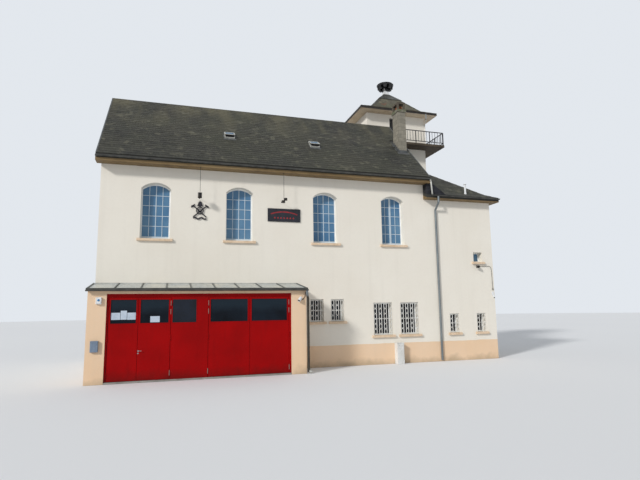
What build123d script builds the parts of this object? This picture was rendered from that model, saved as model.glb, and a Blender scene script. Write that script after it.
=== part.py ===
from build123d import *
import math
import os

# A fire museum: an old fire station with a red-doored garage front, a slate-roofed
# main block, a lower hipped wing and a siren tower with a gallery.
# All sizes are millimetres. Along X from the left end of the main block, along Y into
# the building from the main front wall, up from the yard before the garage doors.

# Levels and storeys
floor_level = 60
garage_height = 3100
ground_storey = 4410
floor_thickness = 250

# Main block
main_length = 14500
main_depth = 7520
wall = 450
roof_pitch = 44
eave_edge_level = 8745
roof_thickness = 120
eave_overhang = 480
verge_overhang = 170
eaves_box_depth = 285
gutter_radius = 60
gutter_wall = 5
gutter_below_edge = 85
wing_gutter_below_edge = 20

# Arched upper windows: distances in from the left and the right end
arches_from_left = (1550, 4990)
arches_from_right = (5620, 2260)
rear_arches_from_left = (1550, 4990, 8880)
arch_width = 1165
arch_above_floor = 995
arch_rise = 245
arch_below_soffit = 665
reveal = 300
frame_depth = 60
frame_bar = 55
glass_thickness = 8
sill_overhang = 110
sill_projection = 90
sill_thickness = 110
sill_fall = 25

# Lower windows: width, and sill and head above the ground floor
small_window = (620, 1900, 2875)
small_window_gap = 340
small_pair_place = 0.3125
large_window = (930, 1240, 2700)
large_windows_from_right = (2800, 1450)
large_below_arch = 120
slit_window = (500, 1250, 2140)
slit_window_from_main = 1150
slit_window_from_end = 1100
high_window = (500, 4660, 5130)

# Side walls' windows, as distances from the front and from the rear
gable_arch_from_front = 1500
gable_arch_from_rear = 2660
slit_from_front = 1650
slit_from_rear = 2370

# Wing
wing_length = 3750
wing_side_wall = 560
wing_eave_drop = 825
wing_eaves_box_depth = 190
wing_eave_overhang = 350
wing_roof_thickness = 150
wing_flare_width = 500
wing_flare_pitch = 27
wing_roof_pitch = 37
cheek_length = 1110
cheek_below_eave = 35
cheek_depth = 1300

# Roof hatches, each centred at (x, y)
hatch_centres = ((5250, 1410), (9340, 1280))
hatch_width = 460
hatch_length = 560
hatch_rise = 90
hatch_frame = 40
hatch_sink = 15

# Chimney
chimney_from_right = 530
chimney_front = 1320
chimney_width = 450
chimney_depth = 620
chimney_below_ridge = 100
chimney_collar_height = 140
chimney_collar_out = 35
chimney_cap_height = 400
chimney_cap_slab = 90
chimney_cap_leg = 100

# Tower
tower_overlap = 670
tower_depth = 2420
tower_wall = 300
tower_storey = 1780
gallery_below_ridge = 560
gallery_thickness = 130
gallery_front_width = 850
gallery_side_width = 840
gallery_from_verge = 90
gallery_door_from_left = 1490
gallery_door_width = 800
gallery_door_height = 1740
gallery_door_recess = 120
gallery_door_thickness = 45
railing_height = 800
railing_rail = 40
railing_bar = 18
railing_bar_gap = 190
railing_bars_a_post = 5
railing_inset = 25
railing_foot = 140
tower_eave_out = 590
tower_fascia = 300
tower_edge_height = 110
tower_edge_out = 35
tower_flare_run_x = 860
tower_flare_run_y = 500
tower_flare_rise = 260
tower_roof_rise = 1380
tower_roof_top = 210
tower_roof_skin = 90
pedestal_bottom = 195
pedestal_top = 125
pedestal_height = 320
pedestal_left_of_middle = 70

# Siren: a flat domed hood on a throat, with a ring of horns under its rim
siren_radius = 540
siren_rim_radius = 500
siren_rim = 100
siren_dome = 90
siren_dome_steps = ((0.94, 0.42), (0.76, 0.75), (0.50, 0.93))
siren_crown_radius = 130
siren_throat_radius = 190
siren_throat_height = 300
siren_horn_count = 8
siren_horn_radius = 400
siren_horn_top = (230, 200)
siren_horn_foot = (170, 150)
siren_horn_foot_height = 140
siren_horn_turn = 20

# Garage front built out from the main block
annex_depth = 1700
annex_width = 8040
annex_side_wall = 350
annex_front_wall = 350
pier_left = 630
pier_right = 610
annex_roof_above_lintel = 170
annex_roof_fall = 290
annex_roof_front = 90
annex_roof_side = 60
annex_roof_thickness = 60
seam_spacing = 930
seam_height = 35
seam_width = 35
annex_gutter_radius = 55
annex_gutter_below_edge = 25

# Garage doors
door_setback = 60
frame_thickness = 120
head_height = 130
jamb_left = 67
jamb_right = 97
leaf_thickness = 50
leaf_gap = 10
hinge_gap = 6
leaf_floor_gap = 12
leaf_head_gap = 8
side_leaf_width = 1003
walk_leaf_width = 1123
fixed_panel_width = 1101
post_width = 253
leaf_stile = 65
leaf_top_rail = 70
door_window_height = 860
fixed_panel_window = 868
fixed_panel_stile = 50
knuckle_radius = 11
knuckle_out = 14
knuckle_length = 95
knuckle_gap = 0.5
hinge_plate_width = 55
hinge_plate_thickness = 6
low_hinge_levels = (230, 1490)
high_hinges_from_top = (522, 212)
handle_level = 1050
handle_rose_radius = 26
handle_rose_thickness = 8
handle_reach = 55
handle_length = 120
handle_radius = 9

# Rainwater pipes
pipe_radius = 50
pipe_wall_gap = 10
pipe_foot = 60
pipe_offset_height = 150
tower_pipe_radius = 35
tower_pipe_outlet = 200
tower_pipe_fall = 150
tower_pipe_gap = 30
seat_gap = 0.3
wing_pipe_from_main = 600
pipe_below_soffit = 510
rear_pipe_from_left = 350
annex_pipe_below_gutter = 200

# Things fixed to the walls
lamps_from_left = (3870, 7430)
lamp_below_soffit = 1220
lamp_out = 440
lamp_width = 160
lamp_height = 230
lamp_depth = 150
lamp_bar = 16
alarm_from_left = 279
alarm_width = 194
alarm_below_lintel = 370
alarm_height = 250
alarm_depth = 90
mailbox_from_left = 168
mailbox_width = 258
mailbox_above_floor = 1066
mailbox_height = 389
mailbox_depth = 100
cabinet_from_right = 1820
cabinet_width = 340
cabinet_top = 940
cabinet_depth = 300

# Worked out from the driving sizes
lintel_level = floor_level + garage_height
upper_floor_top = floor_level + ground_storey
main_right = main_length
wing_right = main_length + wing_length
wing_inner_right = wing_right - wing_side_wall
ridge_y = main_depth / 2
roof_slope = math.tan(math.radians(roof_pitch))
roof_drop = roof_thickness / math.cos(math.radians(roof_pitch))
ridge_height = eave_edge_level + (ridge_y + eave_overhang) * roof_slope
soffit_level = eave_edge_level - eaves_box_depth
wing_eave_edge = eave_edge_level - wing_eave_drop
wing_soffit_level = wing_eave_edge - wing_eaves_box_depth
tower_left = main_right - tower_overlap
tower_right = wing_inner_right
tower_front = main_depth - tower_depth
gallery_level = ridge_height - gallery_below_ridge
tower_soffit_level = gallery_level + tower_storey
tower_roof_level = tower_soffit_level + tower_fascia
pedestal_level = tower_roof_level + tower_flare_rise + tower_roof_rise
siren_level = pedestal_level + pedestal_height
tower_middle_x = (tower_left + tower_right) / 2 - pedestal_left_of_middle
tower_middle_y = (tower_front + main_depth) / 2
chimney_left = main_right - chimney_from_right
chimney_collar_level = ridge_height - chimney_below_ridge
annex_front = -annex_depth
annex_roof_low = lintel_level + annex_roof_above_lintel
annex_roof_high = annex_roof_low + annex_roof_fall
door_face = annex_front + door_setback
main_gutter_level = eave_edge_level - gutter_below_edge
wing_gutter_level = wing_eave_edge - wing_gutter_below_edge
annex_gutter_level = annex_roof_low - annex_gutter_below_edge
arch_lefts = arches_from_left + tuple(main_right - d for d in arches_from_right)
arch_sill_level = upper_floor_top + arch_above_floor
arch_crown_level = soffit_level - arch_below_soffit
arch_spring_level = arch_crown_level - arch_rise
centre_x = wing_right / 2
centre_y = (main_depth - annex_depth) / 2
overall_place = Pos(-centre_x, -centre_y, 0)


def window_at(left, window):
    """A square window's left edge, width, sill level and head level."""
    width, low, high = window
    return left, width, floor_level + low, floor_level + high


large_lefts = [main_right - d for d in large_windows_from_right]
small_pair_width = 2 * small_window[0] + small_window_gap
small_free = large_lefts[0] - annex_width - small_pair_width
small_left = annex_width + small_free * small_pair_place
front_windows = [window_at(small_left, small_window),
                 window_at(small_left + small_window[0] + small_window_gap, small_window)]
front_windows += [window_at(left, large_window) for left in large_lefts]
rear_windows = [window_at(left + large_below_arch, large_window) for left in rear_arches_from_left]
gable_arch_fronts = (gable_arch_from_front, main_depth - gable_arch_from_rear)
gable_windows = [window_at(front + large_below_arch, large_window) for front in gable_arch_fronts]
wing_windows = [window_at(main_right + slit_window_from_main, slit_window),
                window_at(wing_right - slit_window_from_end, slit_window),
                window_at(wing_right - slit_window_from_end, high_window)]
wing_side_windows = [window_at(front, window) for front in (slit_from_front, main_depth - slit_from_rear)
                     for window in (slit_window, high_window)]


def block(x0, x1, y0, y1, z0, z1):
    return Pos((x0 + x1) / 2, (y0 + y1) / 2, (z0 + z1) / 2) * Box(x1 - x0, y1 - y0, z1 - z0)


def along_x(points, x0, x1):
    """A prism along X from an outline of (y, z) points."""
    outline = Polyline(*[(x0, y, z) for y, z in points], close=True)
    return extrude(make_face(outline), amount=x1 - x0, dir=(1, 0, 0))


def along_y(points, y0, y1):
    """A prism along Y from an outline of (x, z) points."""
    outline = Polyline(*[(x, y0, z) for x, z in points], close=True)
    return extrude(make_face(outline), amount=y1 - y0, dir=(0, 1, 0))


def upright(points, z0, z1):
    """A prism up Z from an outline of (x, y) points."""
    outline = Polyline(*[(x, y, z0) for x, y in points], close=True)
    return extrude(make_face(outline), amount=z1 - z0, dir=(0, 0, 1))


def join(pieces):
    pieces = list(pieces)
    whole = pieces[0]
    for piece in pieces[1:]:
        whole = whole + piece
    return whole


def main_roof_top(y):
    """Height of the slates' top face over a place between the eaves."""
    return ridge_height - abs(y - ridge_y) * roof_slope


def main_roof_under(y):
    return main_roof_top(y) - roof_drop


def arch_solid(left, y0, y1, inset=0):
    """The shape of an arched window opening, optionally drawn in all round."""
    right = left + arch_width - inset
    left = left + inset
    bottom = arch_sill_level + inset
    spring = arch_spring_level
    middle = (left + right) / 2
    sides = Polyline((left, y0, spring), (left, y0, bottom), (right, y0, bottom), (right, y0, spring))
    head = ThreePointArc((right, y0, spring), (middle, y0, arch_crown_level - inset), (left, y0, spring))
    return extrude(make_face(sides + head), amount=y1 - y0, dir=(0, 1, 0))


def on_gable(piece):
    """Turns a piece made for the front wall so that it belongs to the left end wall."""
    return Rot(0, 0, 90) * mirror(piece, about=Plane.XZ)


def on_wing_side(piece):
    """Turns a piece made for the front wall so that it belongs to the wing's end wall."""
    return Pos(wing_right, 0, 0) * Rot(0, 0, 90) * piece


def arch_window(left, y0, inward):
    """An arched window frame and its pane, at a depth y0 from the wall's outer face."""
    y1 = y0 + inward * frame_depth
    frame = arch_solid(left, y0, y1) - arch_solid(left, y0, y1, frame_bar)
    middle = (y0 + y1) / 2
    pane = arch_solid(left, middle - glass_thickness / 2, middle + glass_thickness / 2, frame_bar)
    return frame, pane


def square_window(window, y0, inward):
    left, width, sill, head = window
    y1 = y0 + inward * frame_depth
    low, high = min(y0, y1), max(y0, y1)
    inner = (left + frame_bar, left + width - frame_bar, low, high, sill + frame_bar, head - frame_bar)
    frame = block(left, left + width, low, high, sill, head) - block(*inner)
    middle = (low + high) / 2
    pane = block(inner[0], inner[1], middle - glass_thickness / 2, middle + glass_thickness / 2,
                 inner[4], inner[5])
    return frame, pane


def square_opening(window, y0, y1):
    left, width, sill, head = window
    return block(left, left + width, y0, y1, sill, head)


def sill(left, width, level, outer_y, outward):
    """A moulded sill: it runs back to the wall's face and slopes a little to the front."""
    front = outer_y + outward * sill_projection
    points = [(outer_y, level - sill_thickness), (front, level - sill_thickness), (front, level - sill_fall),
              (outer_y, level)]
    return along_x(points, left - sill_overhang, left + width + sill_overhang)


# Walls of the main block

def front_wall_left():
    return block(wall, pier_left, 0, wall, 0, upper_floor_top)


def front_wall_lower():
    piece = block(annex_width - pier_right, main_right - wall, 0, wall, 0, upper_floor_top)
    for window in front_windows:
        piece -= square_opening(window, 0, wall)
    return piece


def front_wall_upper():
    outline = [(0, upper_floor_top), (wall, upper_floor_top), (wall, main_roof_under(wall)),
               (0, main_roof_under(0))]
    piece = along_x(outline, wall, main_right - wall)
    for left in arch_lefts:
        piece -= arch_solid(left, 0, wall)
    return piece


def rear_wall():
    inner = main_depth - wall
    outline = [(main_depth, 0), (inner, 0), (inner, main_roof_under(inner)),
               (main_depth, main_roof_under(main_depth))]
    piece = along_x(outline, wall, tower_left)
    for left in rear_arches_from_left:
        piece -= arch_solid(left, inner, main_depth)
    for window in rear_windows:
        piece -= square_opening(window, inner, main_depth)
    return piece


def gable_outline(rear):
    points = [(0, 0), (rear, 0), (rear, main_roof_under(rear))]
    if rear > ridge_y:
        points.append((ridge_y, main_roof_under(ridge_y)))
    return points + [(0, main_roof_under(0))]


def left_gable_wall():
    piece = along_x(gable_outline(main_depth), 0, wall)
    for front in gable_arch_fronts:
        piece -= on_gable(arch_solid(front, 0, wall))
    for window in gable_windows:
        piece -= on_gable(square_opening(window, 0, wall))
    return piece


def right_gable_wall():
    return along_x(gable_outline(tower_front), main_right - wall, main_right)


# Floors

def ground_floor():
    hall = block(wall, main_right - wall, wall, main_depth - wall, 0, floor_level)
    hall -= tower_box(floor_level)
    inner_front = annex_front + annex_front_wall
    doorway = block(pier_left, annex_width - pier_right, 0, wall, 0, floor_level)
    front = block(annex_side_wall, annex_width - annex_side_wall, inner_front, 0, 0, floor_level)
    sill_strip = block(pier_left, annex_width - pier_right, annex_front, inner_front, 0, floor_level)
    wing = block(main_right, wing_inner_right, wall, tower_front, 0, floor_level)
    return [hall + doorway + front + sill_strip, wing]


def upper_floors():
    """The floors over the ground storey, and the tower's floor at the gallery."""
    bottom = upper_floor_top - floor_thickness
    hall = block(wall, main_right - wall, wall, main_depth - wall, bottom, upper_floor_top)
    hall -= tower_box(upper_floor_top)
    wing = block(main_right, wing_inner_right, wall, tower_front, bottom, upper_floor_top)
    tower = block(tower_left + tower_wall, tower_right - tower_wall, tower_front + tower_wall,
                  main_depth - tower_wall, gallery_level - floor_thickness, gallery_level)
    return [hall, wing, tower]


def tower_box(top):
    return block(tower_left, tower_right, tower_front, main_depth, 0, top)


# Wing walls

def wing_slope_top(distance):
    """Height of the wing's slates at a distance in from the eave: a flatter foot, then the slope."""
    foot = min(distance, wing_flare_width) * math.tan(math.radians(wing_flare_pitch))
    rest = max(distance - wing_flare_width, 0) * math.tan(math.radians(wing_roof_pitch))
    return wing_eave_edge + foot + rest


def wing_slope_under(distance):
    return wing_slope_top(distance) - wing_roof_thickness


def wing_slope_outline():
    """The slope's section as (distance in from the eave, height)."""
    run = wing_length + wing_eave_overhang
    steps = (0, wing_flare_width, run)
    return [(d, wing_slope_top(d)) for d in steps] + [(d, wing_slope_under(d)) for d in reversed(steps)]


def hip_cutter(side):
    """Everything on one side of the hip, which runs back at 45 degrees from the corner."""
    corner_x = wing_right + wing_eave_overhang
    corner_y = -wing_eave_overhang
    far = 2 * (wing_length + main_depth)
    near = corner_y - far if side == "front" else corner_y + far
    beyond = corner_x if side == "front" else corner_x + far
    points = [(corner_x, corner_y), (corner_x - far, corner_y + far)]
    if side == "front":
        points += [(corner_x - far, near), (beyond, near)]
    else:
        points += [(beyond, near), (beyond, corner_y)]
    return upright(points, 0, ridge_height)


def wing_roof_front():
    outline = [(-wing_eave_overhang + d, z) for d, z in wing_slope_outline()]
    return along_x(outline, main_right, wing_right + wing_eave_overhang) & hip_cutter("front")


def wing_roof_side():
    """The slope over the side wall. It stops at the tower, and passes it on the outer side only."""
    edge = wing_right + wing_eave_overhang
    outline = [(edge - d, z) for d, z in wing_slope_outline()]
    piece = along_y(outline, -wing_eave_overhang, main_depth + verge_overhang) & hip_cutter("side")
    return piece - block(main_right, tower_right, tower_front, main_depth + verge_overhang, 0, ridge_height)


def wing_front_wall():
    knee = wing_flare_width - wing_eave_overhang
    tops = [(y, wing_slope_under(y + wing_eave_overhang)) for y in (wall, knee, 0)]
    piece = along_x([(0, 0), (wall, 0)] + tops, main_right, wing_inner_right)
    for window in wing_windows:
        piece -= square_opening(window, 0, wall)
    return piece


def wing_side_wall_piece():
    """The end wall, under both slopes at its front corner."""
    edge = wing_right + wing_eave_overhang
    tops = [(x, wing_slope_under(edge - x)) for x in (wing_inner_right, edge - wing_flare_width, wing_right)]
    piece = along_y([(wing_right, 0), (wing_inner_right, 0)] + tops, 0, main_depth)
    steps = (0, wing_flare_width, wing_length + wing_eave_overhang)
    over = [(d - wing_eave_overhang, wing_slope_under(d)) for d in steps]
    over += [(over[-1][0], ridge_height), (-wing_eave_overhang, ridge_height)]
    piece -= along_x(over, wing_inner_right, wing_right)
    for front, width, level, head in wing_side_windows:
        piece -= block(wing_inner_right, wing_right, front, front + width, level, head)
    return piece


def wing_eaves():
    run = wing_eave_overhang
    profile = [(0, wing_soffit_level), (run, wing_soffit_level), (run, wing_slope_under(run)),
               (0, wing_slope_under(0))]
    front = along_x([(d - run, z) for d, z in profile], main_right, wing_right + run) & hip_cutter("front")
    side = along_y([(wing_right + run - d, z) for d, z in profile], -run, main_depth) & hip_cutter("side")
    return front + side


def slate_cheek():
    """The small slated wedge that lifts the wing's eave to the main eave."""
    foot = wing_eave_edge
    top = eave_edge_level - cheek_below_eave
    outline = [(main_right, foot), (main_right + cheek_length, foot), (main_right, top)]
    wedge = along_y(outline, -wing_eave_overhang, -wing_eave_overhang + cheek_depth)
    under = [(d - wing_eave_overhang, wing_slope_top(d)) for d in (0, wing_flare_width, cheek_depth)]
    under += [(cheek_depth - wing_eave_overhang, 0), (-wing_eave_overhang, 0)]
    wedge -= along_x(under, main_right, main_right + cheek_length)
    return wedge - main_roof_front() - main_eaves_front()


# Main roof

def main_roof_half(sign):
    """One slope of the main roof: sign is -1 in front of the ridge and 1 behind it."""
    edge = ridge_y + sign * (ridge_y + eave_overhang)
    points = [(ridge_y, ridge_height), (edge, main_roof_top(edge)), (edge, main_roof_under(edge)),
              (ridge_y, main_roof_under(ridge_y))]
    return along_x(points, -verge_overhang, main_right + verge_overhang)


def chimney_space(top):
    return block(chimney_left, chimney_left + chimney_width, chimney_front, chimney_front + chimney_depth,
                 0, top)


def main_roof_front():
    return main_roof_half(-1) - chimney_space(ridge_height)


def main_roof_rear():
    return main_roof_half(1) - block(tower_left, main_right + verge_overhang, tower_front,
                                     main_depth + eave_overhang, 0, ridge_height)


def main_eaves_front():
    points = [(-eave_overhang, soffit_level), (0, soffit_level), (0, main_roof_under(0)),
              (-eave_overhang, main_roof_under(-eave_overhang))]
    return along_x(points, -verge_overhang, main_right + verge_overhang)


def main_eaves_rear():
    edge = main_depth + eave_overhang
    points = [(edge, soffit_level), (main_depth, soffit_level), (main_depth, main_roof_under(main_depth)),
              (edge, main_roof_under(edge))]
    return along_x(points, -verge_overhang, tower_left)


def half_round_gutter(radius, x0, x1, y, z):
    """A half-round gutter with closed ends along X; y is its middle and z its top edge."""
    trough = Pos((x0 + x1) / 2, y, z) * Rot(0, 90, 0) * Cylinder(radius, x1 - x0)
    hollow = Pos((x0 + x1) / 2, y, z) * Rot(0, 90, 0) * \
        Cylinder(radius - gutter_wall, x1 - x0 - 2 * gutter_wall)
    above = block(x0, x1, y - 2 * radius, y + 2 * radius, z, z + 2 * radius)
    return trough - hollow - above


def gutters():
    front = half_round_gutter(gutter_radius, -verge_overhang, main_right + verge_overhang,
                              -eave_overhang - gutter_radius, main_gutter_level)
    rear = half_round_gutter(gutter_radius, -verge_overhang, tower_left,
                             main_depth + eave_overhang + gutter_radius, main_gutter_level)
    wing = half_round_gutter(gutter_radius, main_right + verge_overhang + gutter_radius,
                             wing_right + wing_eave_overhang, -wing_eave_overhang - gutter_radius,
                             wing_gutter_level)
    annex = half_round_gutter(annex_gutter_radius, -annex_roof_side, annex_width + annex_roof_side,
                              annex_front - annex_roof_front - annex_gutter_radius, annex_gutter_level)
    return [front, rear, wing, annex]


def roof_hatches():
    """Two glazed hatches lying on the front slope, each a kerb with a sunk pane."""
    hatches = []
    for middle_x, middle_y in hatch_centres:
        lie = Pos(middle_x, middle_y, main_roof_top(middle_y)) * Rot(roof_pitch, 0, 0)
        kerb = Pos(0, 0, hatch_rise / 2) * Box(hatch_width, hatch_length, hatch_rise)
        sink = Pos(0, 0, hatch_rise - hatch_sink / 2) * \
            Box(hatch_width - 2 * hatch_frame, hatch_length - 2 * hatch_frame, hatch_sink)
        hatches.append(lie * (kerb - sink))
    return hatches


def chimney():
    """The shaft stands on the gable wall, passes the roof and ends in a collar."""
    top = chimney_collar_level
    shaft = chimney_space(top)
    lower = [(-eave_overhang, 0), (ridge_y, 0), (ridge_y, main_roof_under(ridge_y)),
             (-eave_overhang, main_roof_under(-eave_overhang))]
    shaft -= along_x(lower, 0, main_right + verge_overhang)
    out = chimney_collar_out
    collar = block(chimney_left - out, chimney_left + chimney_width + out, chimney_front - out,
                   chimney_front + chimney_depth + out, top, top + chimney_collar_height)
    return shaft + collar


def chimney_cap():
    """The head: a post at each corner under a slab, open to all sides for the smoke."""
    bottom = chimney_collar_level + chimney_collar_height
    top = bottom + chimney_cap_height
    left, right = chimney_left, chimney_left + chimney_width
    front, rear = chimney_front, chimney_front + chimney_depth
    leg = chimney_cap_leg
    slab = block(left, right, front, rear, top - chimney_cap_slab, top)
    posts = [block(x, x + leg, y, y + leg, bottom, top - chimney_cap_slab)
             for x in (left, right - leg) for y in (front, rear - leg)]
    return join([slab] + posts)


# Tower

def tower_front_wall():
    piece = block(tower_left, tower_right, tower_front, tower_front + tower_wall, 0, tower_soffit_level)
    left = tower_left + gallery_door_from_left
    return piece - block(left, left + gallery_door_width, tower_front, tower_front + tower_wall,
                         gallery_level, gallery_level + gallery_door_height)


def tower_side_walls():
    front, rear = tower_front + tower_wall, main_depth - tower_wall
    return [block(left, left + tower_wall, front, rear, 0, tower_soffit_level)
            for left in (tower_left, tower_right - tower_wall)]


def tower_rear_wall():
    return block(tower_left, tower_right, main_depth - tower_wall, main_depth, 0, tower_soffit_level)


def gallery_door():
    front = tower_front + gallery_door_recess
    left = tower_left + gallery_door_from_left
    return block(left, left + gallery_door_width, front, front + gallery_door_thickness,
                 gallery_level, gallery_level + gallery_door_height)


def gallery_slab():
    bottom = gallery_level - gallery_thickness
    right = tower_right + gallery_side_width
    front = tower_front - gallery_front_width
    start = main_right + verge_overhang + gallery_from_verge
    return block(start, right, front, tower_front, bottom, gallery_level) + \
        block(tower_right, right, tower_front, main_depth, bottom, gallery_level)


def railing(length):
    """A straight run of railing along X from 0, standing on Z 0."""
    half = railing_rail / 2
    pieces = [Pos(length / 2, 0, railing_height - half) * Box(length, railing_rail, railing_rail),
              Pos(length / 2, 0, railing_foot) * Box(length, railing_bar, railing_rail)]
    count = round(length / railing_bar_gap)
    step = (length - railing_rail) / count
    for i in range(count + 1):
        post = i in (0, count) or i % railing_bars_a_post == 0
        side = railing_rail if post else railing_bar
        bottom = 0 if post else railing_foot
        height = railing_height - half - bottom
        pieces.append(Pos(half + i * step, 0, bottom + height / 2) * Box(side, side, height))
    return join(pieces)


def gallery_railings():
    """The front run and the side run, which stop short of each other at the corner."""
    front_y = tower_front - gallery_front_width + railing_inset + railing_rail / 2
    side_x = tower_right + gallery_side_width - railing_inset - railing_rail / 2
    side_start = front_y + railing_rail / 2 + seat_gap
    start = main_right + verge_overhang + gallery_from_verge
    front = Pos(start, front_y, gallery_level) * railing(side_x + railing_rail / 2 - start)
    side = Pos(side_x, side_start, gallery_level) * Rot(0, 0, 90) * railing(main_depth - side_start)
    return [front, side]


def tower_eaves():
    """The boxed eaves: a fascia and soffit under a metal edge that stands out a little."""
    edge_level = tower_roof_level - tower_edge_height
    box = tower_eave_out - tower_edge_out
    edge = tower_eave_out
    return block(tower_left - box, tower_right + box, tower_front - box, main_depth + box,
                 tower_soffit_level, edge_level) + \
        block(tower_left - edge, tower_right + edge, tower_front - edge, main_depth + edge,
              edge_level, tower_roof_level)


def hipped(steps):
    """A hipped form from its levels, each given as (left, right, front, rear, height)."""
    left, right = min(step[0] for step in steps), max(step[1] for step in steps)
    front, rear = min(step[2] for step in steps), max(step[3] for step in steps)
    across = [(step[0], step[4]) for step in steps] + [(step[1], step[4]) for step in reversed(steps)]
    along = [(step[2], step[4]) for step in steps] + [(step[3], step[4]) for step in reversed(steps)]
    return along_y(across, front, rear) & along_x(along, left, right)


def about_middle(half, level):
    """A square level of a hipped form about the siren's axis."""
    return (tower_middle_x - half, tower_middle_x + half, tower_middle_y - half, tower_middle_y + half, level)


def round_tower(out_x, out_y, level):
    """A level of a hipped form that stands out from the tower's walls."""
    return (tower_left - out_x, tower_right + out_x, tower_front - out_y, main_depth + out_y, level)


def tower_roof():
    """The flared skirt and the steep part over the tower, as one shell."""
    out, skin = tower_eave_out, tower_roof_skin
    knee = tower_roof_level + tower_flare_rise
    knee_x, knee_y = out - tower_flare_run_x, out - tower_flare_run_y
    outer = hipped([round_tower(out, out, tower_roof_level), round_tower(knee_x, knee_y, knee),
                    about_middle(tower_roof_top, pedestal_level)])
    inner = hipped([round_tower(out - 2 * skin, out - 2 * skin, tower_roof_level),
                    round_tower(knee_x - skin, knee_y - skin, knee - skin),
                    about_middle(tower_roof_top - skin, pedestal_level - skin)])
    return outer - inner


def siren_pedestal():
    return hipped([about_middle(pedestal_bottom, pedestal_level), about_middle(pedestal_top, siren_level)])


def siren_horn(turn):
    """One horn: it hangs from the hood and narrows to its foot."""
    top = siren_throat_height + siren_rim / 2
    wide, deep = siren_horn_top
    foot_wide, foot_deep = siren_horn_foot
    horn = hipped([(-foot_wide / 2, foot_wide / 2, -foot_deep / 2, foot_deep / 2, siren_horn_foot_height),
                   (-wide / 2, wide / 2, -deep / 2, deep / 2, top)])
    return Rot(0, 0, turn) * Pos(0, -siren_horn_radius, 0) * horn


def siren():
    widest = siren_throat_height + siren_rim
    crown = widest + siren_dome
    dome = [(siren_radius * out, widest + siren_dome * up) for out, up in siren_dome_steps]
    with BuildSketch(Plane.XZ) as section:
        with BuildLine():
            Polyline((0, 0), (siren_throat_radius, 0), (siren_throat_radius, siren_throat_height),
                     (siren_rim_radius, siren_throat_height), (siren_radius, widest), *dome,
                     (siren_crown_radius, crown), (0, crown), (0, 0))
        make_face()
    hood = revolve(section.sketch, Axis.Z, 360)
    horns = [siren_horn(siren_horn_turn + 360 / siren_horn_count * i) for i in range(siren_horn_count)]
    return Pos(tower_middle_x, tower_middle_y, siren_level) * join([hood] + horns)


# Garage front

def annex_roof_top(y):
    fall = (annex_roof_high - annex_roof_low) / (annex_depth + annex_roof_front)
    return annex_roof_high + y * fall


def annex_roof_under(y):
    return annex_roof_top(y) - annex_roof_thickness


def annex_side(left, right, inner_left, inner_right):
    """A side wall with the wider pier at its front, under the sloping roof."""
    back = annex_front + annex_front_wall
    back_top, front_top = annex_roof_under(back), annex_roof_under(annex_front)
    pier = along_x([(annex_front, 0), (back, 0), (back, back_top), (annex_front, front_top)], left, right)
    side = along_x([(back, 0), (0, 0), (0, annex_roof_under(0)), (back, back_top)], inner_left, inner_right)
    return pier + side


def annex_walls():
    left = annex_side(0, pier_left, 0, annex_side_wall)
    right = annex_side(annex_width - pier_right, annex_width, annex_width - annex_side_wall, annex_width)
    return [left, right]


def garage_lintels():
    """The lintel over the doors and the beam in line with the main front wall."""
    back = annex_front + annex_front_wall
    points = [(annex_front, lintel_level), (back, lintel_level), (back, annex_roof_under(back)),
              (annex_front, annex_roof_under(annex_front))]
    lintel = along_x(points, pier_left, annex_width - pier_right)
    beam = block(pier_left, annex_width - pier_right, 0, wall, lintel_level, upper_floor_top)
    return [lintel, beam]


def annex_roof():
    edge = annex_front - annex_roof_front
    high, low = annex_roof_top(0), annex_roof_top(edge)
    sheet = [(0, annex_roof_under(0)), (0, high), (edge, low), (edge, annex_roof_under(edge))]
    left = -annex_roof_side
    right = annex_width + annex_roof_side
    roof = along_x(sheet, left, right)
    seam = [(0, high), (0, high + seam_height), (edge, low + seam_height), (edge, low)]
    count = round((right - left) / seam_spacing)
    step = (right - left - seam_width) / count
    for i in range(count + 1):
        x = left + i * step
        roof += along_x(seam, x, x + seam_width)
    return roof


# Door frame, fixed panel and leaves

frame_left = pier_left
frame_right = annex_width - pier_right
frame_back = door_face + frame_thickness
leaf_bottom = floor_level + leaf_floor_gap
head_bottom = lintel_level - head_height
leaf_top = head_bottom - leaf_head_gap
window_top = leaf_top - leaf_top_rail
window_bottom = window_top - door_window_height
hinge_axis_y = door_face - knuckle_out
side_leaf_left = frame_left + jamb_left + hinge_gap
side_leaf_axis = frame_left + jamb_left
walk_leaf_left = side_leaf_left + side_leaf_width + leaf_gap
walk_leaf_axis = walk_leaf_left + walk_leaf_width + hinge_gap
panel_left = walk_leaf_axis + hinge_gap
post_left = panel_left + fixed_panel_width
gate_left_axis = post_left + post_width + hinge_gap
gate_left_left = gate_left_axis + hinge_gap
gate_right_axis = frame_right - jamb_right
gate_leaf_width = (gate_right_axis - hinge_gap - gate_left_left - leaf_gap) / 2
gate_right_left = gate_left_left + gate_leaf_width + leaf_gap


def knuckle(axis_x, low, toward):
    """A hinge knuckle and its plate; toward is 1 where the plate lies to the right of the pin."""
    high = low + knuckle_length
    barrel = Pos(axis_x, hinge_axis_y, (low + high) / 2) * Cylinder(knuckle_radius, knuckle_length)
    near, far = sorted((axis_x, axis_x + toward * hinge_plate_width))
    plate = block(near, far, door_face - hinge_plate_thickness, door_face, low, high)
    near, far = sorted((axis_x, axis_x + toward * knuckle_radius))
    return barrel + plate + block(near, far, hinge_axis_y, door_face, low, high)


def hinge_levels():
    """The middle of each hinge, where the leaf's knuckle rides on the frame's."""
    return [floor_level + d for d in low_hinge_levels] + [leaf_top - d for d in high_hinges_from_top]


def moving_knuckles(axis_x, toward):
    return [knuckle(axis_x, level + knuckle_gap / 2, toward) for level in hinge_levels()]


def fixed_knuckles(axis_x, toward):
    return [knuckle(axis_x, level - knuckle_gap / 2 - knuckle_length, toward) for level in hinge_levels()]


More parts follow.
